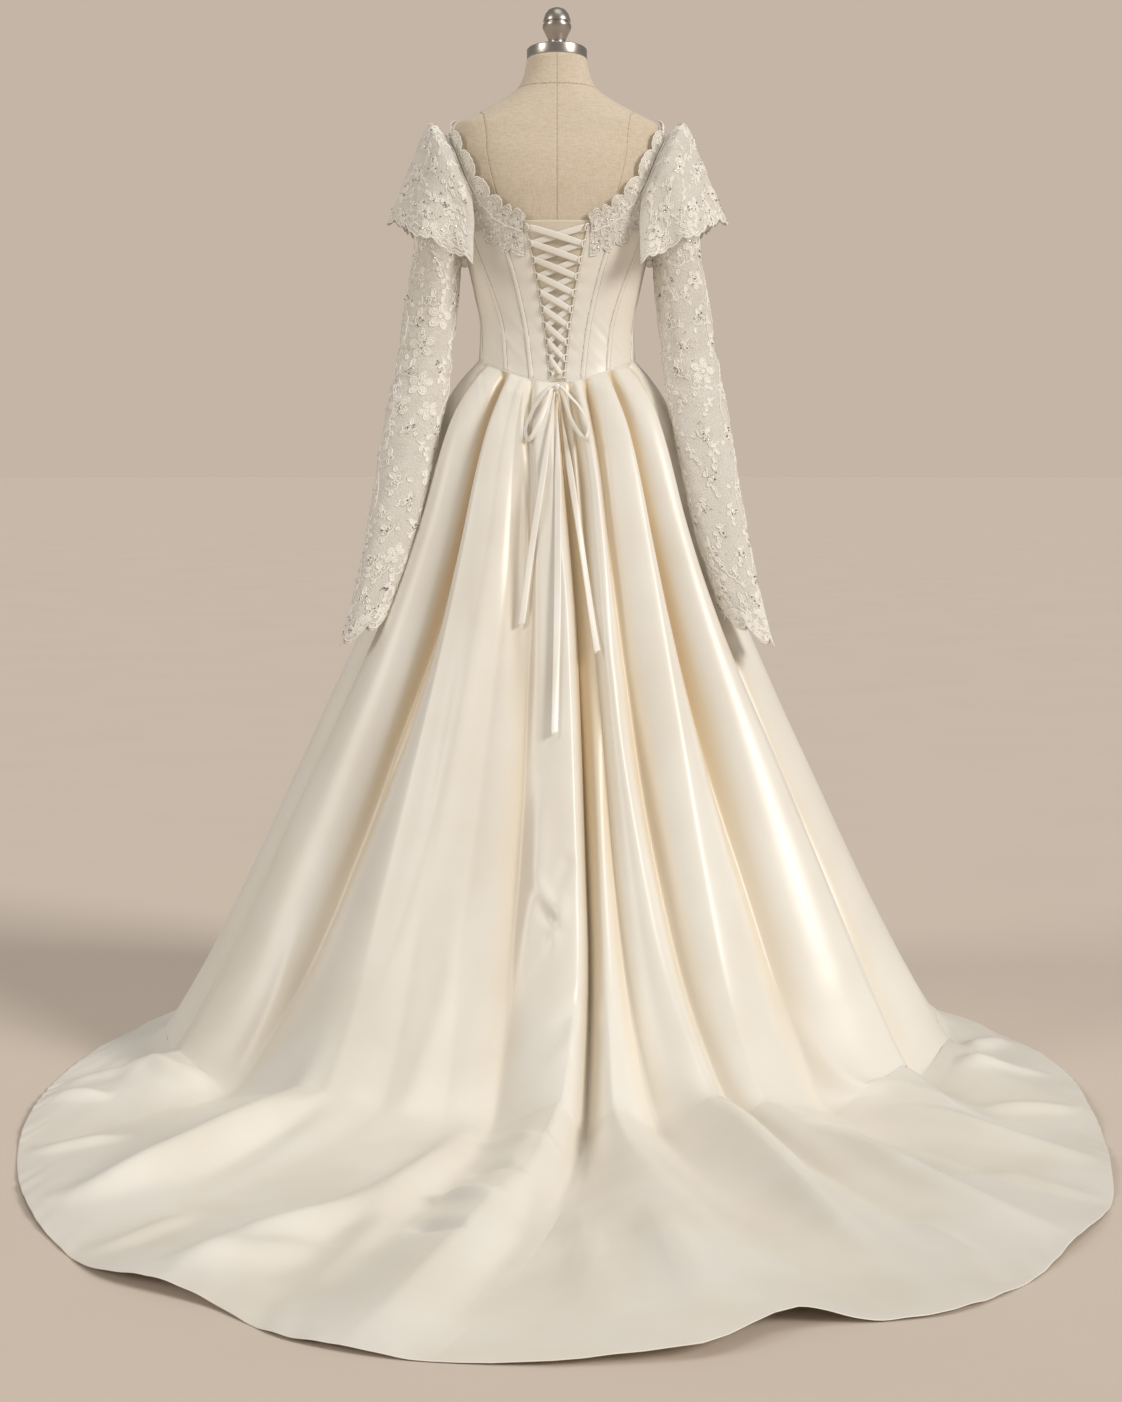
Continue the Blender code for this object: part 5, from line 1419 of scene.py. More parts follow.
def panel_grid(down, azimuth_at):
    """Azimuths and heights a share of the way down the bodice, on lines that slant."""
    azimuth = azimuth_at(np.full_like(down, SEAM_HEIGHTS[1]))
    for _ in range(6):
        top = bodice_top(azimuth)
        bottom = waist_height(azimuth) + WAIST_GAP / 2
        height = top + (bottom - top) * down
        azimuth = azimuth_at(height)
    return azimuth, height


def bodice_relief(azimuth, height, edge):
    """Small shapes of a laced bodice, in metres out of its face.

    Rounded edges at the seams, faint level tension lines near the lacing and soft
    wrinkles above the waist.
    """
    around = np.abs((azimuth + 180) % 360 - 180)
    seam = -0.9 * MM * np.exp(-((edge / (1.1 * MM)) ** 2))
    from_opening = np.radians(around - seam_azimuth("opening", height)) * 0.1
    pitch = (LACING_TOP - LACING_BOTTOM) / (LACING_LOOPS - 1)
    pulls = np.cos(2 * math.pi * (height - LACING_TOP) / pitch)
    tension = 0.35 * MM * pulls * np.exp(-np.clip(from_opening, 0, None) / 0.018)
    wrinkles = waves(height + 0.12 * np.radians(azimuth), 11, 6, 120, 330)
    waist = np.exp(-(((height - 1.135) / 0.045) ** 2))
    return seam + tension + 0.55 * MM * wrinkles * waist


def make_bodice(look):
    """The boned satin panels, from the laced opening round to the centre front."""
    satin = satin_finish("duchess_satin_bodice", look["satin"], look["satin_shade"])
    names = list(BODICE_SEAMS)
    panels = ("back", "side_back", "side", "side_front", "front")
    jobs = []
    for side, letter in ((-1, "l"), (1, "r")):
        for near, far, panel in zip(names, names[1:], panels):
            jobs.append((f"bodice_{panel}_{letter}", side, near, far))
    jobs.append(("bodice_centre_front", 0, "centre_front", "centre_front"))
    down = np.linspace(0, 1, 90)[:, None]
    for node, side, near, far in jobs:
        columns = 33
        share = (1 - np.cos(np.linspace(0, math.pi, columns)))[None] / 2
        if side == 0:
            def azimuth_at(height):
                half = 180 - seam_azimuth("centre_front", height)
                return 180 + half * (2 * share - 1)
        else:
            def azimuth_at(height):
                start, end = seam_azimuth(near, height), seam_azimuth(far, height)
                return side * (start + (end - start) * share)
        wide, shares = np.broadcast_arrays(down, share)
        azimuth, height = panel_grid(wide, azimuth_at)
        width = np.radians(np.abs(azimuth[:, -1:] - azimuth[:, :1])) * 0.12
        edge = np.minimum(shares, 1 - shares) * width
        hem = down * 0.24
        edge = np.minimum(edge, hem)
        layer = BODICE_LAYER[1] + bodice_relief(azimuth, height, edge)
        points = on_form(azimuth, height, layer)
        made = cloth_object("satin_" + node, points, satin, flip=side < 0)
        wall = made.modifiers.new("cloth", "SOLIDIFY")
        wall.thickness = 1.2 * MM
        wall.offset = -1.0
        declare(points)
        dress_up(made, "ivory_satin", node)


def make_waist_piping(look):
    """A thin satin piping round the waist seam, between the bodice and the skirt."""
    satin = satin_finish("duchess_satin_piping", look["satin"], look["satin_shade"])
    azimuth = np.linspace(-180, 180, 541)[:-1]
    path = on_form(azimuth, waist_height(azimuth), BODICE_LAYER[1] - 0.3 * MM)
    outward = polar(azimuth, 1.0 + 0 * azimuth, 0 * azimuth)
    ahead = unit(np.roll(path, -1, axis=0) - np.roll(path, 1, axis=0))
    side = unit(np.cross(ahead, outward))
    turn = np.arange(8) * math.pi / 4
    rings = path[:, None] + PIPING_RADIUS * (
        side[:, None] * np.cos(turn)[None, :, None] + outward[:, None] * np.sin(turn)[None, :, None]
    )
    rings = np.concatenate([rings, rings[:1]])
    made = mesh_object(
        "satin_waist_piping", rings.reshape(-1, 3), [grid_faces(len(rings), 8, True)], satin
    )
    dress_up(made, "ivory_satin")


def make_boning(look):
    """A rounded casing along each boned seam, with a stitched line down both sides and a dark strip at each
    edge, painted shadow.
    """
    satin = satin_finish("duchess_satin_casings", look["satin"], look["satin_shade"])
    thread = cord_finish("sewing_thread", look["lace"], look["lace_shade"])
    # Painted shadow: the dark strips along the casings' edges
    shadow_strip_finish = cord_finish("seam_ditch_thread", look["satin_seam"], look["satin_shade"])
    across = np.linspace(-1, 1, 11)[None]
    profile = np.clip(1 - np.abs(across) ** 4, 0, 1) * 1.5 * MM
    profile = profile - 0.5 * MM * np.exp(-(((np.abs(across) - 0.68) / 0.07) ** 2))
    down = np.linspace(0.0, 0.998, 120)[:, None]
    for side, letter in ((-1, "l"), (1, "r")):
        for name in BONED_SEAMS:
            centre, height = panel_grid(down, lambda level: side * seam_azimuth(name, level))
            turn = np.degrees(across * 3.3 * MM / form_radius(centre, height))
            ends = np.clip(np.minimum(down, 1 - down) / 0.02, 0, 1) ** 0.5
            points = on_form(centre + turn, height + 0 * across, BONING_LAYER + profile * ends)
            node = f"boning_{name}_{letter}"
            made = cloth_object("satin_" + node, points, satin)
            stitches = []
            for offset in (-2.3 * MM, 2.3 * MM):
                spot, level = panel_grid(
                    np.linspace(0.14, 0.99, 52)[:, None],
                    lambda place: side * seam_azimuth(name, place)
                    + np.degrees(offset / form_radius(side * seam_azimuth(name, place), place)),
                )
                lengths = np.array([-0.8, -0.5, 0.5, 0.8]) * MM
                path = on_form(
                    spot, level + lengths[None],
                    BONING_LAYER + np.array([0.7, 1.15, 1.15, 0.7])[None] * MM,
                )
                out = polar(spot[:, 0], 1.0 + 0 * spot[:, 0], 0 * spot[:, 0])
                beside = unit(np.cross(out, np.array([0.0, 0.0, 1.0])))
                grid = path[:, :, None] + beside[:, None, None] * (
                    np.array([-0.22, 0.22])[None, None, :, None] * MM
                )
                stitches.extend(grid)
            sewn = joined(f"stitches_{name}_{letter}", stitches, thread, closed=False, flip=True)
            # Painted shadow: a dark strip at each edge of the casing, one wider than the other
            painted_shadow_strips = []
            for offset, width in ((-3.5 * MM * side, 0.9 * MM), (3.5 * MM * side, 0.45 * MM)):
                spots = offset + width * np.linspace(-0.5, 0.5, 3)[None]
                turned = centre + np.degrees(spots / form_radius(centre, height))
                painted_shadow_strips.append(on_form(turned, height + 0 * spots, BODICE_LAYER[1] + 0.25 * MM))
            lines = joined(f"ditches_{name}_{letter}", painted_shadow_strips, shadow_strip_finish, closed=False)
            declare(points)
            dress_up(made, "ivory_satin", node)
            dress_up(sewn, "ivory_satin")
            dress_up(lines, "ivory_satin")


def make_modesty_panel(look):
    """The plain panel behind the lacing, with soft upright puckers, its satin darker and warmer than the
    bodice's as painted shade for the recess.
    """
    # Painted shade: the panel's satin is darker and warmer than the bodice's
    satin = satin_finish("champagne_satin_panel", look["panel"], look["panel_shade"])
    height = np.linspace(MODESTY_TOP, MODESTY_BOTTOM, 84)[:, None]
    widening = (height - MODESTY_NARROW_AT) / (MODESTY_TOP - MODESTY_NARROW_AT)
    reach = seam_azimuth("opening", height) + MODESTY_OVERLAP * widening
    azimuth = reach * np.linspace(-1, 1, 37)[None]
    arc = np.radians(azimuth) * 0.1
    puckers = waves(arc, 21, 5, 150, 520) * (0.3 + 0.7 * np.sin(np.pi * widening / 1.1) ** 2)
    hem = 0.5 * MM * np.exp(-(((MODESTY_TOP - height) / (5 * MM)) ** 4))
    points = on_form(azimuth, height, MODESTY_LAYER + 0.45 * MM * puckers + hem)
    made = cloth_object("satin_modesty_panel", points, satin)
    wall = made.modifiers.new("cloth", "SOLIDIFY")
    wall.thickness = 0.8 * MM
    wall.offset = -1.0
    declare(points)
    dress_up(made, "ivory_satin", "modesty_panel")


def loop_places():
    """The height of each lacing loop, from the top down."""
    return np.linspace(LACING_TOP, LACING_BOTTOM, LACING_LOOPS)


def loop_tip(height, side):
    """The azimuth of a loop's tip, inside the opening's edge."""
    edge = seam_azimuth("opening", height)
    return side * (edge - np.degrees(LOOP_REACH / form_radius(edge, height)))


def make_loops(look):
    """Corded satin loops: each one leaves the panel's edge, arches out and goes back."""
    satin = satin_finish("duchess_satin_loops", look["satin"], look["satin_shade"])
    turn = np.linspace(0, 1, 13)
    for side, letter in ((-1, "l"), (1, "r")):
        grids = []
        for height in loop_places():
            heights = height + LOOP_HEIGHT * 0.5 * np.cos(np.pi * turn)
            edge = side * seam_azimuth("opening", heights)
            tips = loop_tip(heights, side)
            azimuths = edge + (tips - edge) * (np.sin(np.pi * turn) ** 0.55 * 1.35 - 0.15)
            layer = LOOP_LAYER + 5.4 * MM * np.sin(np.pi * turn) ** 0.7
            path = on_form(azimuths, heights, layer)
            outward = polar(azimuths, 1.0 + 0 * azimuths, 0 * azimuths)
            grids.append(tube_points(path, LOOP_CORD_RADIUS, 8, outward))
        heights = np.linspace(LACING_TOP + 6 * MM, LACING_BOTTOM - 6 * MM, 90)
        edge = side * (seam_azimuth("opening", heights) - 0.4)
        path = on_form(edge, heights, BODICE_LAYER[1] - 0.2 * MM)
        outward = polar(edge, 1.0 + 0 * edge, 0 * edge)
        grids.append(tube_points(path, 0.9 * MM, 8, outward))
        made = joined(f"corded_loops_{letter}", grids, satin)
        dress_up(made, "ivory_satin", f"loops_{letter}")


def lacing_grid(first_side):
    """One half of the lacing: it crosses in front one way and behind the other.

    Each crossing runs straight between two loop tips, bowed out in front, narrower
    where the loop gathers it, and turns round the tip on a half circle.
    """
    places = loop_places()
    azimuths, heights, layers, widths = [], [], [], []
    side = first_side
    middle = (RIBBON_BEHIND + RIBBON_FRONT) / 2
    for upper, lower in zip(places[:-1], places[1:]):
        in_front = side < 0
        layer = RIBBON_FRONT if in_front else RIBBON_BEHIND
        bow = 1.0 * MM if in_front else 0.0
        start, end = loop_tip(upper, side), loop_tip(lower, -side)
        share = np.linspace(0.02, 0.98, 17)
        azimuths.append(start + (end - start) * share)
        heights.append(upper + (lower - upper) * share)
        layers.append(layer + bow * np.sin(np.pi * share))
        widths.append(0.0112 * (0.76 + 0.24 * np.sin(np.pi * share) ** 0.45))
        if lower != places[-1]:
            radius = np.degrees(RIBBON_TURN / form_radius(abs(end), lower))
            turn = np.linspace(0, np.pi, 7)[1:-1]
            azimuths.append(end - side * radius * np.sin(turn))
            heights.append(lower + 0 * turn)
            swing = (RIBBON_FRONT - RIBBON_BEHIND) / 2 * np.cos(turn) * (1 if in_front else -1)
            layers.append(middle + swing)
            widths.append(0.0085 + 0 * turn)
        side = -side
    azimuths, heights, layers, widths = (
        np.concatenate(part) for part in (azimuths, heights, layers, widths)
    )
    path = on_form(azimuths, heights, layers)
    ahead = np.gradient(path, axis=0)
    ahead[:, 2] = 0.0
    upright = unit(
        on_form(azimuths, heights + 4 * MM, layers) - on_form(azimuths, heights - 4 * MM, layers)
    )
    normal = polar(azimuths, 1.0 + 0 * azimuths, 0 * azimuths)
    return ribbon_points(path, upright, normal, widths, 0.5 * MM, 7)


def make_lacing(look):
    """Two zigzag satin ribbons drawn through the loops."""
    ribbon = satin_finish("satin_ribbon_lacing", look["ribbon"], look["satin_shade"])
    for first_side, name in ((-1, "lacing_from_left"), (1, "lacing_from_right")):
        points = lacing_grid(first_side)
        made = cloth_object("ribbon_" + name, points, ribbon, flip=True)
        wall = made.modifiers.new("cloth", "SOLIDIFY")
        wall.thickness = 0.4 * MM
        wall.offset = 0.0
        declare(points)
        dress_up(made, "satin_ribbon", name)


def taut(rises):
    """The rises of a ribbon that bridges the hollows under it."""
    pulled = rises.copy()
    for _ in range(400):
        between = (pulled[:-2] + pulled[2:]) / 2
        pulled[1:-1] = np.maximum(pulled[1:-1], between)
    return pulled


def make_bow(look):
    """The wrapped knot, two thin loops that hang open, and three tails."""
    ribbon = satin_finish("satin_ribbon_bow", look["ribbon"], look["satin_shade"])
    tilt = np.linspace(0.02, math.pi - 0.02, 34)[:, None]
    turn = (np.arange(48) * 2 * math.pi / 48)[None]
    wraps = 0.05 * np.cos(5 * tilt + 1.2 * np.sin(turn)) + 0.03 * np.sin(3 * turn + 2 * tilt)
    bulk = 0.5 * (0.92 + wraps)
    knot = np.stack(
        [
            KNOT_SIZE[0] * bulk * np.sin(tilt) * np.sin(turn),
            -KNOT_SIZE[1] * bulk * np.sin(tilt) * np.cos(turn),
            KNOT_SIZE[2] * bulk * np.cos(tilt) + 0 * turn,
        ],
        -1,
    )
    depth = look["fold_depth"]
    knot = knot + skirt_surface(0.0, KNOT_DOWN, depth, KNOT_SIZE[1] / 2 + KNOT_LIFT)
    faces = capped_faces(*knot.shape[:2])
    made = mesh_object("ribbon_bow_knot", knot.reshape(-1, 3), faces, ribbon)
    dress_up(made, "satin_ribbon", "bow_knot")

    loop = np.array(BOW_LOOP)
    for side, letter in ((-1, "l"), (1, "r")):
        way = np.linspace(0, 1, 90)
        places = np.linspace(0, 1, len(loop))
        azimuths, downs, lifts = (through(way, places, loop[:, k]) for k in range(3))
        path = skirt_surface(side * azimuths, downs, depth, lifts)
        ahead = unit(np.gradient(path, axis=0))
        outward = facing(plain_skirt, side * azimuths, downs, 0.4, 0.004)
        lean = 0.75 + 0.2 * np.sin(way * 2 * math.pi)
        across = unit(0.5 * outward + lean[:, None] * np.cross(ahead, outward) * side)
        normal = np.cross(across, ahead)
        width = 7.0 * MM * (0.6 + 0.4 * np.sin(np.pi * way) ** 0.5)
        points = ribbon_points(path, across, normal, width, 0.5 * MM, 7)
        made = cloth_object(f"ribbon_bow_loop_{letter}", points, ribbon)
        wall = made.modifiers.new("cloth", "SOLIDIFY")
        wall.thickness = 0.4 * MM
        wall.offset = 0.0
        declare(points)
        dress_up(made, "satin_ribbon", f"bow_loop_{letter}")

    for name, path, width in BOW_TAILS:
        places = np.linspace(0, 1, len(path))
        way = np.linspace(0, 1, 120)
        azimuths = through(way, places, np.array([point[0] for point in path], float))
        downs = through(way, places, np.array([point[1] for point in path], float))
        open_out = np.clip(way * 4 - 0.5, 0, 1)
        spread = BOW_TAIL_GATHER + (1 - BOW_TAIL_GATHER) * open_out
        here = fold_rise(azimuths, downs, depth)
        creased = crease_rise(plain_skirt(azimuths, downs)) * depth
        turns = (-2.0, 0.0, 2.0)
        rises = np.max([fold_rise(azimuths + turn, downs, depth) for turn in turns], axis=0)
        bridge = taut(rises + creased + 1.2 * MM) - here
        middle = skirt_surface(azimuths, downs, depth, bridge + BOW_TAIL_LIFT)
        ahead = unit(np.gradient(middle, axis=0))
        outward = facing(plain_skirt, azimuths, downs, 0.4, 0.004)
        across = unit(np.cross(ahead, outward))
        curl = 0.35 * np.sin(way * 5.5 + len(name))
        across = unit(across + outward * curl[:, None] * open_out[:, None])
        normal = np.cross(across, ahead)
        points = ribbon_points(middle, across, normal, width * spread, 0.6 * MM, 7)
        slant = np.linspace(-0.5, 0.5, 7) * width * 0.6
        points[-1] = points[-1] + ahead[-1] * slant[:, None]
        made = cloth_object("ribbon_" + name, points, ribbon, flip=True)
        wall = made.modifiers.new("cloth", "SOLIDIFY")
        wall.thickness = 0.4 * MM
        wall.offset = 0.0
        declare(points)
        dress_up(made, "satin_ribbon", name)


def skirt_grid(first, last, columns, rows):
    """A skirt panel's azimuths and ways down, with its columns spread along its folds."""
    names = [row[0] for row in FOLDS]
    count = len(FOLDS)
    start, end = names.index(first), names.index(last)
    if end <= start:
        end += count
    down = np.concatenate([np.linspace(0, 0.06, 22)[:-1], np.linspace(0.06, 1.0, rows - 21)])
    lines, _ = fold_lines(down)
    lines = np.stack(
        [lines[:, line % count] + 360 * (line // count) for line in range(start, end + 1)], 1
    )
    widths = np.diff(lines, axis=1).mean(0)
    knots = np.concatenate([[0], np.cumsum(widths)]) / widths.sum()
    share = np.linspace(0, 1, columns + 1)
    index = np.clip(np.searchsorted(knots, share, side="right") - 1, 0, len(knots) - 2)
    within = (share - knots[index]) / (knots[index + 1] - knots[index])
    azimuth = lines[:, index] * (1 - within) + lines[:, index + 1] * within
    return azimuth, down[:, None]


def fold_shade_share(azimuth, down, depth):
    """How deep each point lies below the cloth on both sides of it, from 0 to 1: the mask for the shade
    painted into the folds, kept weak low on the skirt.
    """
    here = fold_rise(azimuth, down, depth)
    around = sum(fold_rise(azimuth + turn, down, depth) for turn in FOLD_SHADE_REACHES)
    creased = np.clip(-crease_rise(plain_skirt(azimuth, down)) * depth, 0, None)
    deep = (around / len(FOLD_SHADE_REACHES) - here + creased) / FOLD_SHADE_FULL
    return np.clip(deep, 0.0, 1.0) * np.clip((0.62 - down) / 0.35, 0.12, 1.0)


def make_skirt(look):
    """Five satin panels with their folds and creases, each ending in a rolled hem, with shade painted into
    their folds.
    """
    tones = look["satin"], look["satin_shade"], look["satin_glow"]
    satin = satin_finish("duchess_satin_skirt", *tones)
    for node, first, last, columns, rows in SKIRT_PANELS:
        azimuth, down = skirt_grid(first, last, columns, rows)
        points = skirt_surface(azimuth, down, look["fold_depth"], 0.0, True)
        outward = points[-1] - points[-2]
        outward[:, 2] = 0
        outward = unit(outward)
        roll = []
        for angle in np.radians((30, 60, 90, 120, 150, 180)):
            reach = 1.6 * MM * math.sin(angle)
            drop = 1.6 * MM * (1 - math.cos(angle)) / 2
            rim = points[-1] + outward * reach
            rim[:, 2] = rim[:, 2] - drop
            roll.append(rim)
        points = np.concatenate([points, np.stack(roll)])
        points[..., 2] = np.maximum(points[..., 2], 0.3 * MM)
        made = cloth_object("satin_" + node, points, satin)
        # Painted shade: how deep each point lies in a fold, kept on the mesh for the satin's colour
        deep = fold_shade_share(azimuth, down, look["fold_depth"])
        deep = np.concatenate([deep, np.repeat(deep[-1:], len(roll), 0)])
        hollow = made.data.attributes.new("hollow", "FLOAT", "POINT")
        hollow.data.foreach_set("value", deep.ravel().astype(np.float32))
        declare(points)
        dress_up(made, "ivory_satin", node)


def sleeve_surface(side, turn, share):
    """A sleeve: tilted ellipses along a smooth line, with soft folds down its length."""
    knots = np.linspace(0, 1, len(SLEEVE_RINGS))
    x, y, z, wide, deep, tilt = (
        through(share, knots, column(SLEEVE_RINGS, SLEEVE_COLUMNS, name))
        for name in SLEEVE_COLUMNS
    )
    angle = np.radians(turn)
    bend = np.exp(-(((share - 0.42) / 0.1) ** 2))
    ripple = 1.6 * MM * np.sin(3 * angle + 5 * share) * np.clip(share * 3, 0, 1)
    ripple = ripple + 1.3 * MM * bend * np.sin(share * 95 + 1.5 * np.sin(angle))
    ripple = ripple + 0.9 * MM * np.sin(5 * angle - 9 * share + 1.0)
    hem = np.clip((share - 0.93) / 0.07, 0, 1)
    lobes = np.abs(np.cos(SLEEVE_SCALLOPS * angle / 2 + 0.4)) ** 0.7 * 2 - 1
    tilt = np.radians(tilt)
    outward = (wide + ripple) * np.cos(angle)
    flare = 4 * MM * hem**2 * lobes
    drop = 9 * MM * hem * lobes
    return np.stack(
        [
            side * (x + outward * np.cos(tilt) + flare),
            y + (deep + ripple) * np.sin(angle),
            z + outward * np.sin(tilt) - drop,
        ],
        -1,
    )


def make_sleeves(look):
    """Two lace sleeves: the net ground, its corded motifs, sequins and beads."""
    ground = lace_ground_finish("corded_lace_sleeve", look["tulle"], look["lace"])
    cord = cord_finish("viscose_cord_sleeve", look["lace"], look["lace_shade"])
    filling = cord_finish("woven_filling_sleeve", look["lace_fill"], look["tulle"])
    silver = sequin_finish("silvered_sequins_sleeve", look["sequin"])
    pearl = cord_finish("pearl_beads_sleeve", look["pearl"], look["lace_shade"])
    columns, rows = SLEEVE_GRID
    turn = (np.arange(columns) * 360 / columns)[None]
    share = np.linspace(0, 1, rows)[:, None]
    steps = (1.5, 0.004)
    for side, letter in ((-1, "l"), (1, "r")):
        def surface(one, other):
            return sleeve_surface(side, one, other)

        points = surface(turn, share)
        made = cloth_object(f"lace_sleeve_{letter}", points, ground, True, side < 0)
        random = np.random.default_rng(40 + side)
        groups, beads, sequins = [], [], []
        motifs = (flower_motif(), spray_motif(), scroll_motif())
        centres, kinds = [], []
        for row, level in enumerate(np.arange(0.16, 0.93, 0.044)):
            for spot in range(6):
                angle = spot * 60 + (row % 2) * 30 + random.uniform(-9, 9)
                centres.append((angle, level + random.uniform(-0.009, 0.009)))
                kinds.append(random.choice(3, p=(0.16, 0.36, 0.48)))
        for spot in range(SLEEVE_SCALLOPS * 2):
            centres.append((spot * 30.0 - 23.0, 0.955))
            kinds.append(spot % 2)
        centres, kinds = np.array(centres), np.array(kinds)
        for kind, motif in enumerate(motifs):
            chosen = centres[kinds == kind]
            turns = random.uniform(-0.6, 0.6, len(chosen)) + (1.57 if kind == 1 else 0.0)
            sizes = look["motif_size"] * random.uniform(0.8, 1.15, len(chosen))
            groups.append((motif, chosen, turns, sizes, 2.5 * MM))
        vines = []
        way = np.linspace(0.12, 0.97, 150)
        for start, sway in ((200.0, 12.0), (172.0, 9.0), (330.0, 10.0), (60.0, 12.0)):
            line = start + sway * np.sin(way * 40 + start)
            vines.append((line[None], way[None], 2.0 * MM, 1.2 * MM))
        around = np.linspace(0, 360, 200)
        for level, width in ((0.992, 2.4), (0.975, 1.4), (0.945, 1.4)):
            vines.append((around[None], 0 * around[None] + level, width * MM, 1.2 * MM))
        limits = (-720, 720, 0.02, 0.995)
        motifs_made = lace_motifs(
            f"lace_cords_sleeve_{letter}",
            surface, groups, steps, limits, (cord, filling), side, vines,
        )
        flowers = centres[random.random(len(centres)) < 0.42]
        spread = random.normal(0, 1, (5, len(flowers), 2)) * np.array([6.5, 0.0075])
        sequins = (flowers[None] + spread).reshape(-1, 2)
        free = random.uniform((0, 0.1), (360, 0.97), (40, 2))
        sequins = np.concatenate([sequins, free])
        sequins[:, 1] = np.clip(sequins[:, 1], 0.06, 0.98)
        discs = scatter_discs(
            f"sequins_sleeve_{letter}", surface, sequins, steps,
            look["sequin_radius"], silver, side, 5, 1.5 * MM,
        )
        beads = random.uniform((0, 0.1), (360, 0.97), (110, 2))
        pearls = scatter_beads(
            f"beads_sleeve_{letter}", surface, beads, steps, look["bead_radius"], pearl, side, 0.6 * MM
        )
        declare(points, closed=True)
        dress_up(made, "corded_lace", f"sleeve_{letter}")
        for piece in (*motifs_made, discs, pearls):
            dress_up(piece, "corded_lace")


def flounce_surface(side, around, share):
    """A flounce: half rings from the neckline lace, in ruffles that deepen to the hem."""
    shares = column(FLOUNCE_RINGS, FLOUNCE_COLUMNS, "share")
    centre_x, reach_x, reach_y, centre_z, rise_z = (
        through(share, shares, column(FLOUNCE_RINGS, FLOUNCE_COLUMNS, name))
        for name in FLOUNCE_COLUMNS[1:]
    )
    angle = np.radians(around)
    ruffle = np.cos(FLOUNCE_WAVES * angle) + 0.35 * np.sin(11.3 * angle + 1.0)
    ripple = FLOUNCE_WAVE * share**1.3 * ruffle
    wide = reach_x + ripple
    deep = reach_y + ripple
    lobes = np.abs(np.cos(FLOUNCE_WAVES * angle)) ** 0.6
    small = np.abs(np.cos(FLOUNCE_WAVES * 3 * angle + 0.6))
    drop = (9 * MM * lobes + 3.5 * MM * small - 5 * MM) * np.clip((share - 0.6) / 0.4, 0, 1) ** 2
    free = np.stack(
        [
            side * (centre_x + wide * np.cos(angle)),
            deep * np.sin(angle),
            centre_z + rise_z * np.cos(angle) - drop,
        ],
        -1,
    )
    first = dict(zip(FLOUNCE_COLUMNS, FLOUNCE_RINGS[0]))
    top = np.stack(
        [
            side * (first["centre_x"] + first["reach_x"] * np.cos(angle)),
            first["reach_y"] * np.sin(angle),
            first["centre_z"] + first["rise_z"] * np.cos(angle),
        ],
        -1,
    )
    azimuth = 90 + around * FLOUNCE_SEAT_SPAN / FLOUNCE_REACH
    height = through(
        azimuth,
        column(NECK_LACE, NECK_LACE_COLUMNS, "azimuth"),
        column(NECK_LACE, NECK_LACE_COLUMNS, "height"),
    )
    seat = on_form(side * azimuth, height, FLOUNCE_SEAT_LAYER)
    held = np.clip(1 - share / FLOUNCE_SEAT_SHARE, 0, 1)[..., None] ** 2
    return free + (seat - top) * held


def make_flounces(look):
    """A pointed lace flounce over the head of each sleeve."""
    ground = lace_ground_finish("corded_lace_flounce", look["tulle"], look["lace"])
    cord = cord_finish("viscose_cord_flounce", look["lace"], look["lace_shade"])
    filling = cord_finish("woven_filling_flounce", look["lace_fill"], look["tulle"])
    silver = sequin_finish("silvered_sequins_flounce", look["sequin"])
    around = np.linspace(-FLOUNCE_REACH, FLOUNCE_REACH, 200)[None]
    share = np.linspace(0, 1, 60)[:, None]
    steps = (0.5, 0.006)
    for side, letter in ((-1, "l"), (1, "r")):
        def surface(one, other):
            return flounce_surface(side, one, np.clip(other, 0, 1))

        points = surface(around, share)
        made = cloth_object(f"lace_flounce_{letter}", points, ground, False, side < 0)
        random = np.random.default_rng(60 + side)
        centres, kinds = [], []
        for row, (level, spots) in enumerate(((0.16, 9), (0.36, 11), (0.56, 13), (0.76, 15), (0.91, 16))):
            for spot in range(spots):
                angle = -90 + 180 * (spot + 0.5) / spots + random.uniform(-3, 3)
                centres.append((angle, level + random.uniform(-0.02, 0.02)))
                kinds.append((spot + row) % 3)
        centres, kinds = np.array(centres), np.array(kinds)
        groups = []
        for kind, motif in enumerate((flower_motif(), spray_motif(), scroll_motif())):
            chosen = centres[kinds == kind]
            turns = random.uniform(-3.1, 3.1, len(chosen))
            sizes = look["motif_size"] * random.uniform(0.65, 0.95, len(chosen))
            groups.append((motif, chosen, turns, sizes, 2.2 * MM))
        line = np.linspace(-FLOUNCE_REACH + 1, FLOUNCE_REACH - 1, 420)
        edges = []
        for level, width, height in ((0.99, 2.4, 1.4), (0.955, 1.5, 1.1), (0.90, 1.5, 1.1), (0.02, 2.6, 1.6)):
            edges.append((line[None], 0 * line[None] + level, width * MM, height * MM))
        limits = (-95.0, 95.0, 0.01, 0.99)
        cords = lace_motifs(
            f"lace_cords_flounce_{letter}", surface, groups, steps, limits, (cord, filling), side, edges
        )
        flowers = centres[kinds == 0]
        spread = random.normal(0, 1, (5, len(flowers), 2)) * np.array([3.5, 0.035])
        spots = np.concatenate(
            [(flowers[None] + spread).reshape(-1, 2), random.uniform((-92, 0.1), (92, 0.96), (60, 2))]
        )
        spots = np.clip(spots, (-94, 0.05), (94, 0.97))
        discs = scatter_discs(
            f"sequins_flounce_{letter}", surface, spots, steps,
            look["sequin_radius"], silver, side, 9, 1.5 * MM,
        )
        declare(points)
        dress_up(made, "corded_lace", f"flounce_{letter}")
        for piece in (*cords, discs):
            dress_up(piece, "corded_lace")


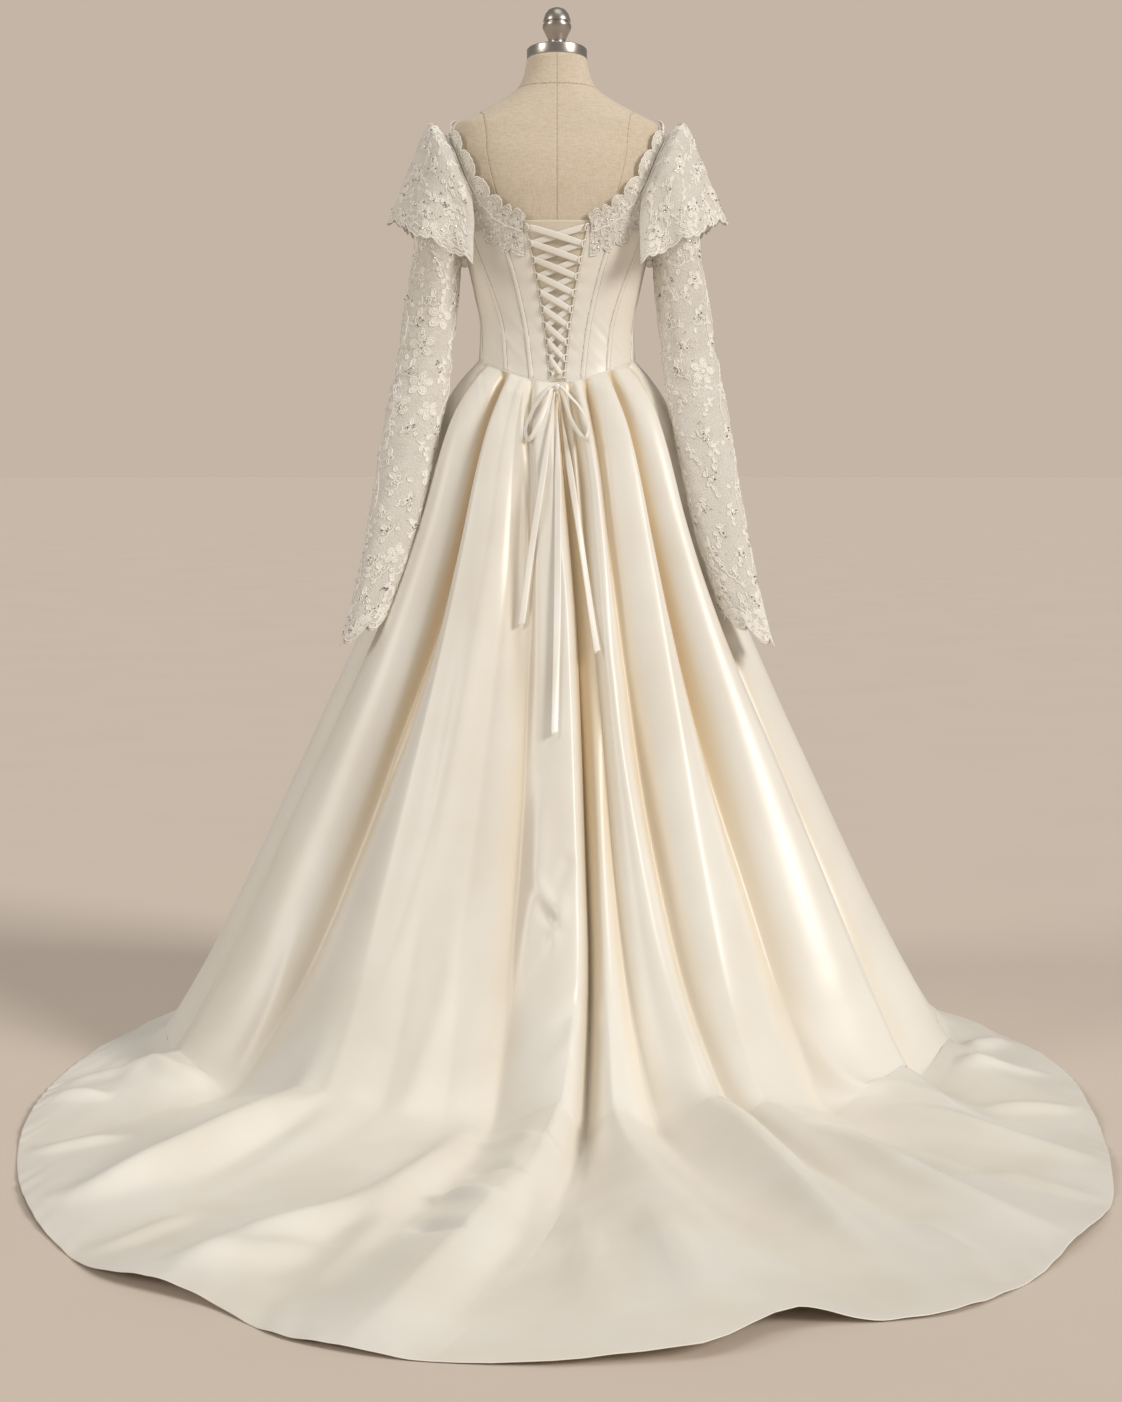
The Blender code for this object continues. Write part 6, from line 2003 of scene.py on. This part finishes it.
def neck_lace_surface(side, way, across):
    """The neckline lace: a band over the bodice's edge, scalloped on both sides.

    Its upper scallops stand out from the form a little, as a frill.
    """
    azimuths = column(NECK_LACE, NECK_LACE_COLUMNS, "azimuth")
    first, last = NECK_LACE_STARTS, azimuths[-1]
    heights = column(NECK_LACE, NECK_LACE_COLUMNS, "height")
    azimuth = first + (last - first) * way
    middle = through(azimuth, azimuths, heights)
    half = through(azimuth, azimuths, column(NECK_LACE, NECK_LACE_COLUMNS, "half_width"))
    ahead = np.radians(2.0) * form_radius(azimuth, middle)
    climb = through(azimuth + 1.0, azimuths, heights) - through(azimuth - 1.0, azimuths, heights)
    long = np.sqrt(ahead**2 + climb**2)
    lobe = np.abs(np.cos(math.pi * NECK_LACE_SCALLOPS * way)) ** 0.6
    fine = np.abs(np.cos(math.pi * NECK_LACE_SCALLOPS * 5 * way))
    edge = NECK_LACE_SCALLOP_RISE * (2 * lobe - 1) + 1.4 * MM * fine
    reach = (half + edge) * across
    height = middle + reach * ahead / long
    turn = azimuth - np.degrees(reach * climb / long / form_radius(azimuth, height))
    frill = np.clip(across, 0, 1) ** 2
    wave = np.cos(2 * math.pi * NECK_LACE_SCALLOPS * way)
    layer = NECK_LACE_LAYER + frill * (3.2 * MM + 1.8 * MM * wave)
    return on_form(side * turn, height, layer)


def make_neckline_lace(look):
    """The scalloped lace edge with its cords, from the opening round to the front."""
    ground = lace_ground_finish("corded_lace_edge", look["tulle"], look["lace"])
    cord = cord_finish("viscose_cord_edge", look["lace"], look["lace_shade"])
    filling = cord_finish("woven_filling_edge", look["lace_fill"], look["tulle"])
    silver = sequin_finish("silvered_sequins_edge", look["sequin"])
    way = np.linspace(0, 1, 340)[None]
    across = np.linspace(1, -1, 26)[:, None]
    steps = (0.002, 0.02)
    for side, letter in ((-1, "l"), (1, "r")):
        def surface(one, other):
            return neck_lace_surface(side, one, -other)

        points = neck_lace_surface(side, way, across)
        made = cloth_object(f"lace_neckline_{letter}", points, ground, False, side < 0)
        random = np.random.default_rng(80 + side)
        spots = (np.arange(NECK_LACE_SCALLOPS) + 0.0) / NECK_LACE_SCALLOPS
        upper = np.stack([np.clip(spots, 0.02, 0.98), np.full(len(spots), -0.45)], -1)
        lower = np.stack([np.clip(spots + 0.01, 0.02, 0.98), np.full(len(spots), 0.5)], -1)
        between = np.stack([np.clip(spots + 0.03, 0.02, 0.98), np.full(len(spots), 0.05)], -1)
        groups = [
            (flower_motif(), upper, random.uniform(-3, 3, len(upper)),
             random.uniform(0.009, 0.011, len(upper)), 1.5 * MM),
            (spray_motif(), lower, random.uniform(1.2, 1.9, len(lower)),
             random.uniform(0.010, 0.012, len(lower)), 1.5 * MM),
            (scroll_motif(), between, random.uniform(-0.6, 0.6, len(between)),
             random.uniform(0.008, 0.010, len(between)), 1.5 * MM),
        ]
        line = np.linspace(0.002, 0.998, 400)
        edges = []
        for level, width in NECK_LACE_CORDS:
            edges.append((line[None], 0 * line[None] + level, width * MM, 1.2 * MM))
        limits = (0.004, 0.996, -0.97, 0.97)
        cords = lace_motifs(
            f"lace_cords_neckline_{letter}", surface, groups, steps, limits, (cord, filling), side, edges
        )
        spread = np.concatenate([upper, lower])
        spread = (spread[None] + random.normal(0, 1, (4, len(spread), 2)) * np.array([0.008, 0.16]))
        spots = np.clip(spread.reshape(-1, 2), (0.01, -0.9), (0.99, 0.9))
        discs = scatter_discs(
            f"sequins_neckline_{letter}", surface, spots, steps,
            look["sequin_radius"] * 0.85, silver, side, 13, 1.4 * MM,
        )
        declare(points)
        dress_up(made, "corded_lace", f"neckline_lace_{letter}")
        for piece in (*cords, discs):
            dress_up(piece, "corded_lace")


def make_stage(look):
    """The floor, the even light of the studio and the camera behind the gown."""
    floor_finish = studio_finish("studio_floor_paint", look["floor"])
    turn = np.arange(96) * 2 * math.pi / 96
    rim = 90.0 * np.stack([np.cos(turn), np.sin(turn), 0 * turn], -1)
    floor = mesh_object("floor", rim, [np.arange(96)[None]], floor_finish)

    world = bpy.context.scene.world or bpy.data.worlds.new("studio")
    bpy.context.scene.world = world
    world.use_nodes = True
    tree = world.node_tree
    tree.nodes.clear()
    seen = add_node(tree, "ShaderNodeBackground", {"Color": look["backdrop"], "Strength": 1.0})
    light = add_node(
        tree, "ShaderNodeBackground", {"Color": look["room"], "Strength": look["room_light"]}
    )
    ray = add_node(tree, "ShaderNodeLightPath")
    mixed = add_node(tree, "ShaderNodeMixShader", {0: ray.outputs["Is Camera Ray"]})
    tree.links.new(light.outputs[0], mixed.inputs[1])
    tree.links.new(seen.outputs[0], mixed.inputs[2])
    output = add_node(tree, "ShaderNodeOutputWorld")
    tree.links.new(mixed.outputs[0], output.inputs["Surface"])

    for name, direction, strength, spread, code in STUDIO_LIGHTS:
        lamp = bpy.data.lights.new(name, "SUN")
        lamp.energy = strength * look["studio_light"]
        lamp.angle = math.radians(spread)
        lamp.color = srgb(code)[:3]
        made = bpy.data.objects.new(name, lamp)
        bpy.context.scene.collection.objects.link(made)
        made.rotation_euler = mathutils.Vector(direction).to_track_quat("Z", "Y").to_euler()
    bpy.context.scene.view_settings.view_transform = "Standard"
    bpy.context.scene.view_settings.look = "None"

    view = bpy.data.cameras.new("camera_behind")
    view.lens = CAMERA_LENS
    view.sensor_width = 36.0
    view.clip_end = 200.0
    camera = bpy.data.objects.new("camera_behind", view)
    camera.location = CAMERA_PLACE
    camera.rotation_euler = (math.radians(CAMERA_TILT), 0.0, 0.0)
    bpy.context.scene.collection.objects.link(camera)
    bpy.context.scene.camera = camera


def colour_choice(name, code, text):
    """A colour that a user may change, with its default from a hex code."""
    return bpy.props.FloatVectorProperty(
        name=name, description=text, default=srgb(code), size=4, subtype="COLOR", min=0.0, max=1.0
    )


def length_choice(name, default, text):
    """A length in metres that a user may change."""
    return bpy.props.FloatProperty(
        name=name, description=text, default=default, min=0.0002, unit="LENGTH"
    )


def share_choice(name, default, text):
    """A plain factor that a user may change."""
    return bpy.props.FloatProperty(
        name=name, description=text, default=default, min=0.0, soft_max=2.0, subtype="FACTOR"
    )


class GownColours(bpy.types.PropertyGroup):
    satin: colour_choice("Satin", "#EFEAE0", "The duchess satin of the bodice and the skirt")
    satin_shade: colour_choice("Satin shade", "#E9E2D5", "The satin where the weave lies deeper")
    # The panel's two tones are darker and warmer than the bodice satin: shade painted for the recess behind
    # the lacing
    panel: colour_choice("Panel", "#E9E0CF", "The champagne satin behind the lacing")
    panel_shade: colour_choice("Panel shade", "#DDD0B9", "The panel satin where it is deeper")
    ribbon: colour_choice("Ribbon", "#F6F2EB", "The satin ribbon of the lacing and the bow")
    # A warmer, darker satin: shade painted deep in the skirt's folds
    satin_glow: colour_choice("Satin glow", "#E6D5B9", "The satin deep in a fold")
    # A dark brown-grey: the painted shadow lines at the casings' edges
    satin_seam: colour_choice("Satin seam", "#A9987D", "The thread in the bodice's seams")
    lace_fill: colour_choice("Lace filling", "#F1ECE3", "The woven filling of the motifs")
    lace: colour_choice("Lace", "#F8F5EE", "The cord and the woven sprigs of the lace")
    lace_shade: colour_choice("Lace shade", "#E6DFD3", "The cord's thread in its twist")
    tulle: colour_choice("Tulle", "#F1EBE1", "The net that carries the lace")
    linen: colour_choice("Linen", "#DACCB8", "The form's linen cover")
    linen_shade: colour_choice("Linen shade", "#CDBCA3", "The linen between its threads")
    linen_seam: colour_choice("Linen seam", "#8F7656", "The thread of the form's seams")
    nickel: colour_choice("Nickel", "#B5ADA4", "The cap, the finial and the stand")
    sequin: colour_choice("Sequin", "#B4AEA6", "The silvered sequins")
    pearl: colour_choice("Pearl", "#FBF8F0", "The small beads")
    floor: colour_choice("Floor", "#DBCDBF", "The studio floor")
    backdrop: colour_choice("Backdrop", "#C4B5A6", "The backdrop")
    room: colour_choice("Room", "#FFFBF6", "The light that the room returns")


class GownSizes(bpy.types.PropertyGroup):
    fold_depth: share_choice("Fold depth", 1.0, "How deep the skirt's folds are")
    room_light: share_choice("Room light", 0.30, "How bright the room's own light is")
    studio_light: share_choice("Studio light", 1.0, "How bright the softboxes are")
    motif_size: length_choice("Motif size", 0.019, "Half the width of a lace flower")
    sequin_radius: length_choice("Sequin radius", 0.0015, "The radius of a sequin")
    bead_radius: length_choice("Bead radius", 0.0012, "The radius of a bead")


def chosen(context):
    """The user's colours, as linear tuples, and sizes, by name."""
    look = {}
    for group in (context.scene.gown_colours, context.scene.gown_sizes):
        for name in group.__annotations__:
            value = getattr(group, name)
            look[name] = value if isinstance(value, float) else tuple(value)
    return look


class GOWN_OT_stage(bpy.types.Operator):
    """Build the floor, the lights and the camera"""

    bl_idname = "gown.stage"
    bl_label = "Studio"

    def execute(self, context):
        make_stage(chosen(context))
        return {"FINISHED"}


class GOWN_OT_form(bpy.types.Operator):
    """Build the linen form with its sewn seams"""

    bl_idname = "gown.form"
    bl_label = "Form"

    def execute(self, context):
        make_form(chosen(context))
        return {"FINISHED"}


class GOWN_OT_metalwork(bpy.types.Operator):
    """Build the cap and the finial, and finish the stand"""

    bl_idname = "gown.metalwork"
    bl_label = "Metalwork"

    def execute(self, context):
        make_metalwork(chosen(context))
        return {"FINISHED"}


class GOWN_OT_bodice(bpy.types.Operator):
    """Build the satin panels and the waist piping"""

    bl_idname = "gown.bodice"
    bl_label = "Bodice"

    def execute(self, context):
        make_bodice(chosen(context))
        make_waist_piping(chosen(context))
        return {"FINISHED"}


class GOWN_OT_boning(bpy.types.Operator):
    """Build the casings and their stitches"""

    bl_idname = "gown.boning"
    bl_label = "Boning casings"

    def execute(self, context):
        make_boning(chosen(context))
        return {"FINISHED"}


class GOWN_OT_modesty_panel(bpy.types.Operator):
    """Build the panel behind the lacing"""

    bl_idname = "gown.modesty_panel"
    bl_label = "Modesty panel"

    def execute(self, context):
        make_modesty_panel(chosen(context))
        return {"FINISHED"}


class GOWN_OT_lacing(bpy.types.Operator):
    """Build the corded loops and the laced ribbon"""

    bl_idname = "gown.lacing"
    bl_label = "Loops and lacing"

    def execute(self, context):
        make_loops(chosen(context))
        make_lacing(chosen(context))
        return {"FINISHED"}


class GOWN_OT_bow(bpy.types.Operator):
    """Build the knot, the loops and the tails of the bow"""

    bl_idname = "gown.bow"
    bl_label = "Bow"

    def execute(self, context):
        make_bow(chosen(context))
        return {"FINISHED"}


class GOWN_OT_neckline_lace(bpy.types.Operator):
    """Build the scalloped lace edge"""

    bl_idname = "gown.neckline_lace"
    bl_label = "Neckline lace"

    def execute(self, context):
        make_neckline_lace(chosen(context))
        return {"FINISHED"}


class GOWN_OT_sleeves(bpy.types.Operator):
    """Build the lace sleeves with cords, sequins and beads"""

    bl_idname = "gown.sleeves"
    bl_label = "Sleeves"

    def execute(self, context):
        make_sleeves(chosen(context))
        return {"FINISHED"}


class GOWN_OT_flounces(bpy.types.Operator):
    """Build the lace flounces over the sleeve heads"""

    bl_idname = "gown.flounces"
    bl_label = "Flounces"

    def execute(self, context):
        make_flounces(chosen(context))
        return {"FINISHED"}


class GOWN_OT_skirt(bpy.types.Operator):
    """Build the skirt's panels with folds, creases and hem"""

    bl_idname = "gown.skirt"
    bl_label = "Skirt"

    def execute(self, context):
        make_skirt(chosen(context))
        return {"FINISHED"}


OPERATORS = (
    GOWN_OT_stage,
    GOWN_OT_form,
    GOWN_OT_metalwork,
    GOWN_OT_bodice,
    GOWN_OT_boning,
    GOWN_OT_modesty_panel,
    GOWN_OT_lacing,
    GOWN_OT_bow,
    GOWN_OT_neckline_lace,
    GOWN_OT_sleeves,
    GOWN_OT_flounces,
    GOWN_OT_skirt,
)


class GOWN_PT_sidebar(bpy.types.Panel):
    """The gown's colours, sizes and pieces"""

    bl_idname = "GOWN_PT_sidebar"
    bl_label = "Wedding Dress"
    bl_space_type = "VIEW_3D"
    bl_region_type = "UI"
    bl_category = "Wedding Dress"

    def draw(self, context):
        for group in (context.scene.gown_colours, context.scene.gown_sizes):
            for name in group.__annotations__:
                self.layout.prop(group, name)
        for operator in OPERATORS:
            self.layout.operator(operator.bl_idname)


CLASSES = (GownColours, GownSizes, *OPERATORS, GOWN_PT_sidebar)


def register():
    for item in CLASSES:
        bpy.utils.register_class(item)
    bpy.types.Scene.gown_colours = bpy.props.PointerProperty(type=GownColours)
    bpy.types.Scene.gown_sizes = bpy.props.PointerProperty(type=GownSizes)


def unregister():
    del bpy.types.Scene.gown_sizes
    del bpy.types.Scene.gown_colours
    for item in reversed(CLASSES):
        bpy.utils.unregister_class(item)


def main():
    """Register the add-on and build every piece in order."""
    register()
    for operator in OPERATORS:
        getattr(bpy.ops.gown, operator.bl_idname.split(".")[1])()


if __name__ == "__main__":
    main()
